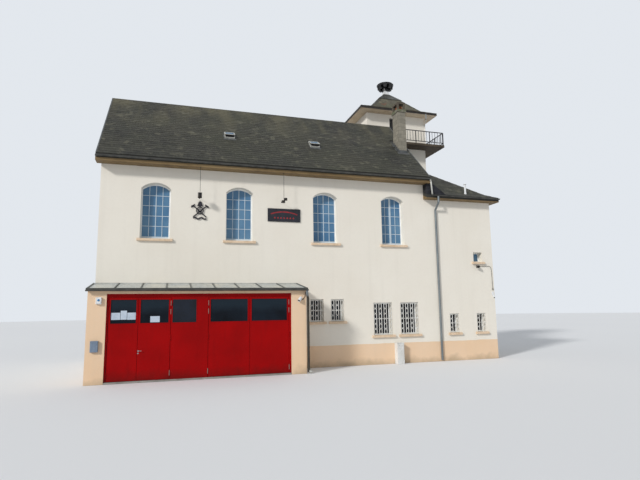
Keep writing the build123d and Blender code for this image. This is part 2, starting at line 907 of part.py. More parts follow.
def door_posts():
    """The two jambs and the post between the doorways, with their halves of the hinges."""
    left = block(frame_left, side_leaf_axis - hinge_gap, door_face, frame_back, floor_level, head_bottom)
    right = block(gate_right_axis + hinge_gap, frame_right, door_face, frame_back, floor_level, head_bottom)
    post = block(post_left, post_left + post_width, door_face, frame_back, floor_level, head_bottom)
    return [join([left] + fixed_knuckles(side_leaf_axis, -1)),
            join([post] + fixed_knuckles(gate_left_axis, -1)),
            join([right] + fixed_knuckles(gate_right_axis, 1))]


def door_head():
    return block(frame_left, frame_right, door_face, frame_back, head_bottom, lintel_level)


def glazed_board(left, right, glass_left, glass_right):
    back = door_face + leaf_thickness
    board = block(left, right, door_face, back, leaf_bottom, leaf_top)
    return board - block(glass_left, glass_right, door_face, back, window_bottom, window_top)


def board_glass(glass_left, glass_right):
    middle = door_face + leaf_thickness / 2
    return block(glass_left, glass_right, middle - glass_thickness / 2, middle + glass_thickness / 2,
                 window_bottom, window_top)


def leaf(left, width, axis_x, toward):
    board = glazed_board(left, left + width, left + leaf_stile, left + width - leaf_stile)
    return join([board] + moving_knuckles(axis_x, toward))


def leaf_glass(left, width):
    return board_glass(left + leaf_stile, left + width - leaf_stile)


def fixed_panel():
    glass_left = panel_left + fixed_panel_stile
    board = glazed_board(panel_left, post_left, glass_left, glass_left + fixed_panel_window)
    foot = block(panel_left, post_left, door_face, door_face + leaf_thickness, floor_level, leaf_bottom)
    head = block(panel_left, post_left, door_face, door_face + leaf_thickness, leaf_top, head_bottom)
    return join([board, foot, head] + fixed_knuckles(walk_leaf_axis, 1))


def fixed_panel_glass():
    glass_left = panel_left + fixed_panel_stile
    return board_glass(glass_left, glass_left + fixed_panel_window)


def door_handle():
    x = walk_leaf_left + leaf_stile / 2
    z = floor_level + handle_level
    rose = Pos(x, door_face - handle_rose_thickness / 2, z) * Rot(90, 0, 0) * \
        Cylinder(handle_rose_radius, handle_rose_thickness)
    neck = Pos(x, door_face - handle_reach / 2, z) * Rot(90, 0, 0) * Cylinder(handle_radius, handle_reach)
    lever = Pos(x + handle_length / 2, door_face - handle_reach, z) * Rot(0, 90, 0) * \
        Cylinder(handle_radius, handle_length)
    return rose + neck + lever


# Windows

def window_sets():
    """All the fixed frames, each with its pane."""
    windows = []
    for left in arch_lefts:
        windows.append(arch_window(left, reveal, 1))
    for left in rear_arches_from_left:
        windows.append(arch_window(left, main_depth - reveal, -1))
    for front in gable_arch_fronts:
        windows.append([on_gable(piece) for piece in arch_window(front, reveal, 1)])
    for window in front_windows + wing_windows:
        windows.append(square_window(window, reveal, 1))
    for window in rear_windows:
        windows.append(square_window(window, main_depth - reveal, -1))
    for window in gable_windows:
        windows.append([on_gable(piece) for piece in square_window(window, reveal, 1)])
    for window in wing_side_windows:
        windows.append([on_wing_side(piece) for piece in square_window(window, reveal, 1)])
    return windows


def window_sills():
    sills = [sill(left, arch_width, arch_sill_level, 0, -1) for left in arch_lefts]
    sills += [sill(left, arch_width, arch_sill_level, main_depth, 1) for left in rear_arches_from_left]
    sills += [on_gable(sill(front, arch_width, arch_sill_level, 0, -1)) for front in gable_arch_fronts]
    for left, width, level, head in front_windows + wing_windows:
        sills.append(sill(left, width, level, 0, -1))
    for left, width, level, head in rear_windows:
        sills.append(sill(left, width, level, main_depth, 1))
    for front, width, level, head in gable_windows:
        sills.append(on_gable(sill(front, width, level, 0, -1)))
    for front, width, level, head in wing_side_windows:
        sills.append(on_wing_side(sill(front, width, level, 0, -1)))
    return sills


# Rainwater pipes

def pipe(points, radius):
    """A round pipe with mitred elbows, through a list of (x, y, z) points."""
    route = Polyline(*points)
    section = Plane(route @ 0, z_dir=route % 0) * Circle(radius)
    return sweep(section, path=route, transition=Transition.RIGHT)


def eave_downpipe(x, overhang, soffit, gutter):
    """A pipe down a front wall at y = 0, from the gutter before its eave."""
    back = -pipe_wall_gap - pipe_radius
    front = -overhang - gutter_radius
    turn = soffit - pipe_below_soffit
    return pipe([(x, back, pipe_foot), (x, back, turn), (x, front, turn + back - front),
                 (x, front, gutter - gutter_radius - seat_gap)], pipe_radius)


def wing_downpipe():
    return eave_downpipe(main_right + wing_pipe_from_main, wing_eave_overhang, wing_soffit_level,
                         wing_gutter_level)


def rear_downpipe():
    turned = eave_downpipe(-rear_pipe_from_left, eave_overhang, soffit_level, main_gutter_level)
    return Pos(0, main_depth, 0) * Rot(0, 0, 180) * turned


def annex_downpipe():
    x = annex_width + pipe_wall_gap + pipe_radius
    under = annex_width
    front = annex_front - annex_roof_front - annex_gutter_radius
    back = annex_front - pipe_radius
    turn = annex_gutter_level - annex_pipe_below_gutter - pipe_offset_height
    top = annex_gutter_level - annex_gutter_radius - seat_gap
    return pipe([(x, back, pipe_foot), (x, back, turn), (under, front, turn + pipe_offset_height),
                 (under, front, top)], pipe_radius)


def tower_downpipe():
    """The swan-neck from the tower's front edge back to its right side, and down to the gallery."""
    outlet = tower_right - tower_pipe_outlet
    front = tower_front - tower_eave_out - tower_pipe_radius - seat_gap
    x = tower_right + tower_pipe_gap + tower_pipe_radius
    back = tower_front + tower_pipe_radius
    top = tower_roof_level - tower_edge_height
    under = tower_soffit_level - 2 * tower_pipe_radius
    return pipe([(outlet, front, top), (outlet, front, under), (x, back, under - tower_pipe_fall),
                 (x, back, gallery_level + seat_gap)], tower_pipe_radius)


# Things fixed to the walls

def facade_lamp(x):
    """A box lamp on an arm from the wall, steadied by a rod from the soffit."""
    half = lamp_bar / 2
    lamp_level = soffit_level - lamp_below_soffit
    arm = block(x - half, x + half, -lamp_out, 0, lamp_level - half, lamp_level + half)
    rod = block(x - half, x + half, -lamp_out - half, -lamp_out + half, lamp_level, soffit_level)
    middle = lamp_out + half
    head = block(x - lamp_width / 2, x + lamp_width / 2, -middle - lamp_depth / 2, -middle + lamp_depth / 2,
                 lamp_level - lamp_height / 2, lamp_level + lamp_height / 2)
    return arm + rod + head


def wall_box(left, width, low, height, face, depth):
    """A box on the outer face of a front wall."""
    return block(left, left + width, face - depth, face, low, low + height)


def wall_fittings():
    alarm = wall_box(alarm_from_left, alarm_width, lintel_level - alarm_below_lintel, alarm_height,
                     annex_front, alarm_depth)
    mailbox = wall_box(mailbox_from_left, mailbox_width, floor_level + mailbox_above_floor, mailbox_height,
                       annex_front, mailbox_depth)
    cabinet = wall_box(main_right - cabinet_from_right, cabinet_width, 0, cabinet_top, 0, cabinet_depth)
    return [facade_lamp(x) for x in lamps_from_left] + [alarm, mailbox, cabinet]


# Writing the pieces

def pieces():
    windows = window_sets()
    return {
        "ground_floor": ground_floor(),
        "upper_floors": upper_floors(),
        "front_wall_left": front_wall_left(),
        "front_wall_lower": front_wall_lower(),
        "front_wall_upper": front_wall_upper(),
        "rear_wall": rear_wall(),
        "left_gable_wall": left_gable_wall(),
        "right_gable_wall": right_gable_wall(),
        "garage_lintels": garage_lintels(),
        "annex_walls": annex_walls(),
        "annex_roof": annex_roof(),
        "wing_front_wall": wing_front_wall(),
        "wing_side_wall": wing_side_wall_piece(),
        "tower_front_wall": tower_front_wall(),
        "tower_side_walls": tower_side_walls(),
        "tower_rear_wall": tower_rear_wall(),
        "main_roof_front": main_roof_front(),
        "main_roof_rear": main_roof_rear(),
        "wing_roof_front": wing_roof_front(),
        "wing_roof_side": wing_roof_side(),
        "main_eaves": [main_eaves_front(), main_eaves_rear()],
        "wing_eaves": wing_eaves(),
        "slate_cheek": slate_cheek(),
        "gutters": gutters(),
        "downpipes": [wing_downpipe(), rear_downpipe(), annex_downpipe(), tower_downpipe()],
        "roof_hatches": roof_hatches(),
        "chimney": chimney(),
        "chimney_cap": chimney_cap(),
        "gallery_slab": gallery_slab(),
        "gallery_door": gallery_door(),
        "gallery_railings": gallery_railings(),
        "tower_eaves": tower_eaves(),
        "tower_roof": tower_roof(),
        "siren_pedestal": siren_pedestal(),
        "siren": siren(),
        "door_posts": door_posts(),
        "door_head": door_head(),
        "fixed_panel": fixed_panel(),
        "side_leaf": leaf(side_leaf_left, side_leaf_width, side_leaf_axis, 1),
        "walk_leaf": leaf(walk_leaf_left, walk_leaf_width, walk_leaf_axis, -1),
        "gate_leaf_left": leaf(gate_left_left, gate_leaf_width, gate_left_axis, 1),
        "gate_leaf_right": leaf(gate_right_left, gate_leaf_width, gate_right_axis, -1),
        "side_leaf_glass": leaf_glass(side_leaf_left, side_leaf_width),
        "walk_leaf_glass": leaf_glass(walk_leaf_left, walk_leaf_width),
        "gate_left_glass": leaf_glass(gate_left_left, gate_leaf_width),
        "gate_right_glass": leaf_glass(gate_right_left, gate_leaf_width),
        "door_handle": door_handle(),
        "window_frames": [frame for frame, pane in windows],
        "window_glass": [pane for frame, pane in windows] + [fixed_panel_glass()],
        "window_sills": window_sills(),
        "wall_fittings": wall_fittings(),
    }


def main():
    os.makedirs("parts", exist_ok=True)
    for name, shape in pieces().items():
        solids = []
        for piece in (shape if isinstance(shape, (list, tuple)) else [shape]):
            solids += (overall_place * piece).solids()
        whole = solids[0] if len(solids) == 1 else Compound(children=solids)
        whole.label = name
        export_step(whole, "parts/" + name + ".step")


main()
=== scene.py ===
import math
import random

import bpy
from mathutils import Matrix, Vector


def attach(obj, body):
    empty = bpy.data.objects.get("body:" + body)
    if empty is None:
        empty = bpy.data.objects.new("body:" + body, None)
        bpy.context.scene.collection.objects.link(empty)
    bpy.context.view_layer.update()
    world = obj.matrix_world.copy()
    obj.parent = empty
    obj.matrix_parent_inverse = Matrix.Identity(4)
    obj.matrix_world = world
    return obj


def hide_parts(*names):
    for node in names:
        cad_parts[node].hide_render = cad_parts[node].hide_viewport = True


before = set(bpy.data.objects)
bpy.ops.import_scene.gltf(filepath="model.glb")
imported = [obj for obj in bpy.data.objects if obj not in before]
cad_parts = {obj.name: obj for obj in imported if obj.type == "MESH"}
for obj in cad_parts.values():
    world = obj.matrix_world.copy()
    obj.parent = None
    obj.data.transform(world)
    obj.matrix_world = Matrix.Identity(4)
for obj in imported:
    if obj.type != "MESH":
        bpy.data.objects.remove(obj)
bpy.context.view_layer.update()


# Camera: it stands at eye height, before the garage doors, and looks a little to the
# right and up, as the photograph was taken. Its frame is 640 by 480.
# Places are given in metres from the main block's front left corner, and heights from the lowest
# ground at the wing, which lies 0.28 m below the level at the garage doors.
ground = 0.28
corner = Vector((-9.125, -2.910, -ground))


def at(x, y, z):
    """A point to the right of, behind and above the corner."""
    return corner + Vector((x, y, z))


yaw, pitch, roll = math.radians(17.201), math.radians(8.135), math.radians(-0.863)
forward = Vector((math.sin(yaw) * math.cos(pitch), math.cos(yaw) * math.cos(pitch), math.sin(pitch)))
level = Vector((math.cos(yaw), -math.sin(yaw), 0.0))
upright = level.cross(forward)
camera = bpy.data.objects.new("camera", bpy.data.cameras.new("camera"))
bpy.context.collection.objects.link(camera)
camera_axes = Matrix((math.cos(roll) * level + math.sin(roll) * upright,
                      math.cos(roll) * upright - math.sin(roll) * level,
                      -forward)).transposed()
camera.matrix_world = Matrix.Translation(at(2.805, -20.609, 2.786)) @ camera_axes.to_4x4()
camera.data.sensor_width = 36.0
camera.data.lens = 27.2
camera.data.clip_end = 500.0
bpy.context.scene.camera = camera
bpy.context.scene.view_settings.view_transform = "Standard"


# Floor and light: a wide pale studio floor, an even pale dome, and one broad soft lamp from the
# front left. The dome shows paler to the camera than it shines.
def colour(red, green, blue):
    """A paint's colour, from its plain 0 to 255 values."""
    return tuple((value / 255) ** 2.2 for value in (red, green, blue)) + (1.0,)


def material(name, **values):
    """A new finish, whose shader's sockets are set from the given values."""
    finish = bpy.data.materials.new(name)
    finish.use_nodes = True
    for socket, value in values.items():
        finish.node_tree.nodes["Principled BSDF"].inputs[socket.replace("_", " ")].default_value = value
    return finish


def node(owner, kind, values, out, **settings):
    """Adds a node to a finish or the world, sets or links its inputs, and returns the named output."""
    tree = owner.node_tree
    added = tree.nodes.new(kind)
    for key, value in settings.items():
        setattr(added, key, value)
    for socket, value in values.items():
        if isinstance(value, bpy.types.NodeSocket):
            tree.links.new(value, added.inputs[socket])
        else:
            added.inputs[socket].default_value = value
    return added.outputs[out]


def noise(finish, scale, detail=5.0, stretch=(1.0, 1.0, 1.0)):
    """Cloudy variation in metres over the object, stretched along an axis where that is over 1."""
    place = node(finish, "ShaderNodeTexCoord", {}, "Object")
    place = node(finish, "ShaderNodeMapping", {"Vector": place, "Scale": [1 / s for s in stretch]}, "Vector")
    return node(finish, "ShaderNodeTexNoise", {"Vector": place, "Scale": scale, "Detail": detail}, "Fac")


def mix(finish, share, *tones):
    """Mixes two tones by a share; each is a node's colour, or plain red, green and blue."""
    first, second = (tone if isinstance(tone, bpy.types.NodeSocket) else colour(*tone) for tone in tones)
    return node(finish, "ShaderNodeMix", {0: share, 6: first, 7: second}, 2, data_type="RGBA", blend_type="MIX")


def coat(finish, value, socket="Base Color"):
    """Links a value to a socket of the finish's shader."""
    finish.node_tree.links.new(value, finish.node_tree.nodes["Principled BSDF"].inputs[socket])


def maths(owner, way, first, second=0.0):
    """Works out one step of arithmetic on two values or outputs."""
    return node(owner, "ShaderNodeMath", {0: first, 1: second}, "Value", operation=way)


def primitive(add, scale=(1.0, 1.0, 1.0), **settings):
    """Adds a plain shape, scales it, and settles its place into its mesh."""
    bpy.ops.object.select_all(action="DESELECT")
    add(**settings)
    bpy.context.object.scale = scale
    bpy.ops.object.transform_apply(location=True, rotation=True, scale=True)
    return bpy.context.object


floor_finish = material("studio_floor", Roughness=0.9)
coat(floor_finish, mix(floor_finish, noise(floor_finish, 0.05, 2.0), (226, 228, 230), (222, 224, 227)))
floor = primitive(bpy.ops.mesh.primitive_circle_add, vertices=96, radius=160.0, fill_type="NGON",
                  location=(0, 0, -0.004))
floor.name = "studio_floor"
floor.data.materials.append(floor_finish)

world = bpy.data.worlds.new("studio")
bpy.context.scene.world = world
world.use_nodes = True
path = world.node_tree.nodes.new("ShaderNodeLightPath").outputs
seen = maths(world, "MAXIMUM", path["Is Camera Ray"], path["Is Transmission Ray"])
seen = maths(world, "MAXIMUM", seen, path["Is Glossy Ray"])
shining = node(world, "ShaderNodeBackground", {"Color": (0.93, 0.96, 1.0, 1.0), "Strength": 0.52}, "Background")
showing = node(world, "ShaderNodeBackground", {"Color": colour(226, 231, 237), "Strength": 1.0}, "Background")
studio = node(world, "ShaderNodeMixShader", {0: seen, 1: shining, 2: showing}, "Shader")
world.node_tree.links.new(studio, world.node_tree.nodes["World Output"].inputs["Surface"])

lamp = bpy.data.objects.new("key_lamp", bpy.data.lights.new("key_lamp", "SUN"))
bpy.context.collection.objects.link(lamp)
lamp.data.energy = 2.5
lamp.data.angle = math.radians(7.0)
lamp.data.color = (1.0, 0.98, 0.95)
lamp.matrix_world = Vector((1.5, 1.0, -0.95)).to_track_quat("-Z", "Y").to_matrix().to_4x4()


# Walls: brick and block walls with a smooth lime render, painted cream, with a tan band up to
# 1.2 m. The render is a little uneven, streaked from the eaves and grey with splashes at the foot.
def dress(nodes, finish):
    """Gives CAD nodes a finish."""
    for name in nodes.split():
        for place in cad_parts[name].material_slots:
            place.material = finish


def ramp(finish, value, low, high, to_low=0.0, to_high=1.0):
    """Spreads a value between two limits, and clamps it."""
    return node(finish, "ShaderNodeMapRange", {"Value": value, "From Min": low, "From Max": high,
                                               "To Min": to_low, "To Max": to_high}, "Result")


def cloud(finish, scale, detail, low, high, to_high=1.0, stretch=(1.0, 1.0, 1.0), to_low=0.0):
    """Noise that is spread between two limits."""
    return ramp(finish, noise(finish, scale, detail, stretch), low, high, to_low, to_high)


def clouded(finish, first, second, *limits):
    """The first tone with clouds of the second."""
    return mix(finish, cloud(finish, *limits), first, second)


def along_axis(finish, axis):
    """How far a point lies from the corner along X, Y or Z, in metres."""
    place = node(finish, "ShaderNodeTexCoord", {}, "Object")
    place = node(finish, "ShaderNodeSeparateXYZ", {"Vector": place}, axis)
    return maths(finish, "SUBTRACT", place, corner["XYZ".index(axis)])


def bump(finish, height, depth, strength=1.0):
    """Turns a height into relief of the given depth in metres."""
    relief = node(finish, "ShaderNodeBump", {"Height": height, "Distance": depth, "Strength": strength}, "Normal")
    coat(finish, relief, "Normal")


def rendered_wall(name, band):
    """A painted render; band is the level up to which it is tan."""
    wall = material(name, Roughness=0.86)
    height = along_axis(wall, "Z")
    wavering = maths(wall, "ADD", height, cloud(wall, 2.0, 3.0, 0.3, 0.7, 0.012, to_low=-0.012))
    clouds = cloud(wall, 0.55, 4.0, 0.3, 0.7)
    paint = mix(wall, ramp(wall, wavering, band - 0.006, band + 0.006),
                mix(wall, clouds, (225, 193, 159), (229, 200, 170)),
                mix(wall, clouds, (226, 220, 208), (230, 225, 214)))
    paint = clouded(wall, paint, (176, 170, 158), 3.2, 6.0, 0.52, 0.80, 0.10, (1.0, 1.0, 14.0))
    paint = clouded(wall, paint, (196, 190, 180), 9.0, 8.0, 0.45, 0.75, 0.06)
    foot = maths(wall, "ADD", height, cloud(wall, 1.6, 7.0, 0.3, 0.7, 0.2, to_low=-0.16))
    coat(wall, mix(wall, ramp(wall, foot, ground, ground + 0.32, 0.50, 0.0), paint, (140, 128, 104)))
    grain = maths(wall, "ADD", noise(wall, 70.0, 6.0), maths(wall, "MULTIPLY", noise(wall, 4.0, 3.0), 1.5))
    bump(wall, grain, 0.004, 0.55)
    return wall


cream_wall = rendered_wall("cream_wall", 1.2)
dress("front_wall_left front_wall_lower front_wall_upper rear_wall left_gable_wall right_gable_wall "
      "wing_front_wall wing_side_wall tower_front_wall tower_side_walls tower_rear_wall", cream_wall)
dress("annex_walls garage_lintels", rendered_wall("tan_wall", 3.93))


# Floors and gallery: cast concrete, grey and cloudy, with fine pits. The gallery's slab is darker
# and browner all over.
def concrete(name, light, dark, stain):
    """Cast concrete, clouded from light to dark, with stains."""
    cast = material(name, Roughness=0.82)
    paint = clouded(cast, light, dark, 1.3, 8.0, 0.3, 0.7)
    coat(cast, clouded(cast, paint, stain, 4.5, 5.0, 0.5, 0.78, 0.7))
    bump(cast, noise(cast, 42.0, 8.0), 0.004, 0.6)
    return cast


dress("ground_floor upper_floors", concrete("floor_concrete", (150, 147, 141), (126, 123, 118), (104, 98, 90)))
dress("gallery_slab", concrete("gallery_concrete", (84, 74, 60), (60, 51, 40), (42, 34, 26)))


# Slate roofs: small split slates nailed in overlapping courses on boards, from dark grey to olive,
# with lichen that is thickest by the ridge. Each slate is a thin plate that lies a little askew, and
# its tail is painted darker, as painted shadow along each course's lower edge. The tower's slates are
# paler and have rusty patches.
slate_width, slate_length, slate_course, slate_thickness, slate_gap = 0.25, 0.33, 0.20, 0.009, 0.004
askew = random.Random(7)


def weathered_slate(name, dark, pale, warm, green, lichen, patches, rusty=0.0):
    """Split slate whose tone differs from plate to plate, under clouds of green and spots of lichen."""
    slate = material(name, Specular_IOR_Level=0.3)
    paint = mix(slate, node(slate, "ShaderNodeAttribute", {}, "Fac", attribute_name="tone"), dark, pale)
    paint = clouded(slate, paint, warm, 0.35, 3.0, 0.38, 0.62, 0.5)
    paint = clouded(slate, paint, green, 0.8, 6.0, 0.42, 0.72, 0.4)
    runs = cloud(slate, 1.1, 7.0, 0.42, 0.62, 1.0, (1.0, 3.0, 3.0))
    by_ridge = ramp(slate, along_axis(slate, "Z"), 10.8, 13.0, 0.0, 0.75)
    paint = mix(slate, maths(slate, "MULTIPLY", runs, by_ridge), paint, patches)
    paint = clouded(slate, paint, lichen, 2.6, 6.0, 0.58, 0.68, 0.5)
    paint = clouded(slate, paint, lichen, 11.0, 8.0, 0.58, 0.74, 0.55)
    coat(slate, clouded(slate, paint, (120, 80, 62), 1.7, 5.0, 0.60, 0.68, rusty))
    coat(slate, cloud(slate, 24.0, 6.0, 0.3, 0.7, 0.8, to_low=0.6), "Roughness")
    bump(slate, noise(slate, 38.0, 9.0, (1.0, 1.0, 0.4)), 0.003, 0.7)
    return slate


roof_slate = weathered_slate("roof_slate", (36, 36, 35), (80, 79, 72), (70, 69, 58), (60, 63, 51),
                             (104, 102, 88), (98, 94, 76))
tower_slate = weathered_slate("tower_slate", (56, 56, 54), (100, 99, 92), (98, 92, 78), (98, 101, 76),
                              (132, 126, 104), (112, 110, 94), 0.8)


def finished(name, parts, finish, body="building", replaces=None):
    """Joins parts into one piece, and gives it its finish, body and any node that it replaces."""
    parts = parts if isinstance(parts, list) else [parts]
    bpy.ops.object.select_all(action="DESELECT")
    for part in parts:
        part.select_set(True)
    piece = parts[0]
    bpy.context.view_layer.objects.active = piece
    if len(parts) > 1:
        bpy.ops.object.join()
    piece.name = name
    piece.data.materials.clear()
    piece.data.materials.append(finish)
    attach(piece, body)
    if replaces:
        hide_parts(replaces)


def shaped(piece, kind, **settings):
    """Gives a piece a modifier with the given settings, and applies it."""
    modifier = piece.modifiers.new("shape", kind)
    for key, value in settings.items():
        setattr(modifier, key, value)
    bpy.context.view_layer.objects.active = piece
    bpy.ops.object.modifier_apply(modifier=modifier.name)
    return piece


def repeat(piece, count, step):
    """Repeats a piece's mesh at a constant step."""
    return shaped(piece, "ARRAY", count=count, use_relative_offset=False, use_constant_offset=True,
                  constant_offset_displace=step)


def cut(*planes, fill=True):
    """Cuts the active piece at planes, each a point and its way out, and takes off what lies outside."""
    bpy.ops.object.mode_set(mode="EDIT")
    for point, away in planes:
        bpy.ops.mesh.select_all(action="SELECT")
        bpy.ops.mesh.bisect(plane_co=point, plane_no=away.normalized(), use_fill=fill, clear_outer=True)
    bpy.ops.object.mode_set(mode="OBJECT")


def split_slate():
    """One slate: a thin plate whose tail is dressed thinner, tilted to lie on the course below."""
    slate = primitive(bpy.ops.mesh.primitive_cube_add, (slate_width - slate_gap, slate_length, slate_thickness),
                      size=1.0, location=(slate_width / 2, slate_length / 2, slate_thickness / 2))
    for point in slate.data.vertices:
        if point.co.y < slate_length / 2 and point.co.z > slate_thickness / 2:
            point.co.y += slate_thickness / 2
        point.co.z += slate_thickness * 1.6 * (1 - point.co.y / slate_length)
    return slate


def slate_face(name, low_left, low_right, high_right, high_left, holes=(), finish=roof_slate, hang=0.0):
    """Slates one plane of a roof between its corners, seen from outside; holes are boxes left bare."""
    along = (low_right - low_left).normalized()
    outward = along.cross(high_left - low_left).normalized()
    up = outward.cross(along)
    rise = (high_left - low_left).dot(up)
    reach = max((low_right - low_left).dot(along), (high_right - low_left).dot(along))
    start = min(0.0, (high_left - low_left).dot(along))
    across = math.ceil((reach - start) / slate_width) + 2
    slates = repeat(split_slate(), 2, (slate_width / 2, slate_course, 0.0))
    repeat(slates, across, (slate_width, 0.0, 0.0))
    repeat(slates, math.ceil(rise / slate_course / 2), (0.0, 2 * slate_course, 0.0))
    mesh = slates.data
    turned = Matrix((along, up, outward)).transposed().to_4x4()
    mesh.transform(Matrix.Translation(low_left) @ turned @
                   Matrix.Translation((start - slate_width, -0.02, 0.004)))
    tones = mesh.attributes.new("tone", "FLOAT", "POINT")
    rows = [askew.uniform(0.0, 0.45) for row in range(len(mesh.vertices) // (8 * across))]
    for first in range(0, len(mesh.vertices), 8):
        corners = mesh.vertices[first:first + 8]
        slate = first // 8
        shade = rows[slate // (2 * across) * 2 + slate % 2] + askew.uniform(0.1, 0.65)
        turn = askew.uniform(-0.012, 0.012)
        lift = outward * askew.uniform(0.0, 0.004) + up * askew.uniform(-0.006, 0.006)
        middle = sum((point.co for point in corners), Vector()) / 8
        bare = any(all(low[i] < middle[i] < high[i] for i in range(3)) for low, high in holes)
        for number, point in enumerate(corners):
            # The tail corners get a much darker tone: painted shadow along the lower edge of each course.
            tones.data[first + number].value = shade * (0.35 if (point.co - middle).dot(up) < 0 else 1.1)
            point.co += lift + up * (point.co - middle).dot(along) * turn
            point.select = bare
    for shape in list(mesh.polygons) + list(mesh.edges):
        shape.select = all(mesh.vertices[i].select for i in shape.vertices)
    bpy.ops.object.mode_set(mode="EDIT")
    bpy.ops.mesh.select_mode(type="VERT")
    bpy.ops.mesh.delete(type="VERT")
    level_out = along.cross(Vector((0.0, 0.0, 1.0)))
    cut((low_left, outward.cross(high_left - low_left)), (low_left + level_out * hang, level_out),
        (low_right, (high_right - low_right).cross(outward)), (high_left + up * 0.03, up))
    finished(name, slates, finish)


ridge_level, eave_level, verge, eave_reach = 13.1195, 9.025, 0.165, 0.48
block_length, block_depth = 14.5, 7.52
left_verge, right_verge, ridge_y = -verge, block_length + verge, block_depth / 2
bare_places = [(at(x0, y0, 9.0), at(x1, y1, 13.0)) for x0, y0, x1, y1 in
               ((13.94, 1.27, 14.45, 2.45), (5.05, 1.11, 5.45, 1.71), (9.14, 0.98, 9.54, 1.58))]
slate_face("front_slates", at(left_verge, -eave_reach, eave_level), at(right_verge, -eave_reach, eave_level),
           at(right_verge, ridge_y, ridge_level), at(left_verge, ridge_y, ridge_level), bare_places, hang=0.02)
tower_left, tower_right, tower_front, tower_rear = 13.83, 17.69, 5.10, 7.52
slope = (ridge_level - eave_level) / (ridge_y + eave_reach)
behind_tower = ridge_level - (tower_front - ridge_y) * slope
rear_reach = block_depth + eave_reach
slate_face("rear_slates", at(tower_left, rear_reach, eave_level), at(left_verge, rear_reach, eave_level),
           at(left_verge, ridge_y, ridge_level), at(tower_left, ridge_y, ridge_level), hang=0.02)
slate_face("rear_slates_by_tower", at(right_verge, tower_front, behind_tower),
           at(tower_left, tower_front, behind_tower), at(tower_left, ridge_y, ridge_level),
           at(right_verge, ridge_y, ridge_level))

wing_end, wing_reach, wing_eave, wing_rear = 18.25, 0.35, 8.20, 7.69
flare_run, wing_run = 0.5, 4.10
flare_top = wing_eave + flare_run * math.tan(math.radians(27.0))
wing_slope = math.tan(math.radians(37.0))
wing_top = flare_top + (wing_run - flare_run) * wing_slope
edge_x, edge_y = wing_end + wing_reach, -wing_reach
flare_x, flare_y = edge_x - flare_run, edge_y + flare_run
by_tower = flare_top + (flare_x - tower_right) * wing_slope
wing_foot, wing_knee = at(edge_x, edge_y, wing_eave), at(flare_x, flare_y, flare_top)
wing_peak = at(block_length, edge_y + wing_run, wing_top)
foot_by_block, knee_by_block = at(block_length, edge_y, wing_eave), at(block_length, flare_y, flare_top)
knee_by_tower, knee_at_rear = at(flare_x, tower_front, flare_top), at(flare_x, wing_rear, flare_top)
for part, corners in (("front_slates_low", (foot_by_block, wing_foot, wing_knee, knee_by_block)),
                      ("front_slates_high", (knee_by_block, wing_knee, wing_peak, wing_peak)),
                      ("side_slates_low", (wing_foot, at(edge_x, wing_rear, wing_eave), knee_at_rear, wing_knee)),
                      ("side_slates_high", (wing_knee, knee_by_tower, at(block_length, tower_front, wing_top),
                                            wing_peak)),
                      ("side_slates_by_tower", (knee_by_tower, knee_at_rear, at(tower_right, wing_rear, by_tower),
                                                at(tower_right, tower_front, by_tower)))):
    slate_face("wing_" + part, *corners)

tower_edge, siren_x, siren_y, tower_top = 0.59, 15.69, 6.31, 0.21
tower_levels = (14.6395, 14.8995, 16.2795)
tower_steps = ((tower_left - tower_edge, tower_right + tower_edge, tower_front - tower_edge, tower_rear + tower_edge),
               (tower_left - tower_edge + 0.86, tower_right + tower_edge - 0.86,
                tower_front - tower_edge + 0.5, tower_rear + tower_edge - 0.5),
               (siren_x - tower_top, siren_x + tower_top, siren_y - tower_top, siren_y + tower_top))
tower_corners = [[at(left, front, height), at(right, front, height), at(right, rear, height), at(left, rear, height)]
                 for (left, right, front, rear), height in zip(tower_steps, tower_levels)]
for low, part in enumerate(("skirt", "cap")):
    for side in range(4):
        beyond = (side + 1) % 4
        slate_face("tower_slates_%s_%d" % (part, side), tower_corners[low][side], tower_corners[low][beyond],
                   tower_corners[low + 1][beyond], tower_corners[low + 1][side], finish=tower_slate)


def two_tone(name, first, second, limits, relief=None, **values):
    """A finish whose two tones drift into each other in clouds, with a fine grain.

    limits are those of the clouds; relief is the grain's scale and detail, its depth in metres, its
    strength and its stretch.
    """
    finish = material(name, **values)
    coat(finish, clouded(finish, first, second, *limits))
    if relief:
        scale, detail, depth, strength, *stretch = relief
        bump(finish, noise(finish, scale, detail, *stretch), depth, strength)
    return finish


dress("main_roof_front main_roof_rear wing_roof_front wing_roof_side tower_roof",
      two_tone("slate_bed", (38, 38, 36), (58, 57, 52), (9.0, 6.0, 0.0, 1.0), (30.0, 6.0, 0.003, 0.6), Roughness=0.7))


# Ridge and hips: angle tiles of dark grey clay, bedded in mortar and lapped one over the next.
cap_length, cap_step, cap_wing, cap_thickness = 0.42, 0.38, 0.14, 0.012
ridge_finish = two_tone("ridge_tile", (46, 45, 44), (80, 77, 68), (5.0, 7.0, 0.3, 0.7), (55.0, 6.0, 0.003, 0.5),
                        Roughness=0.6)


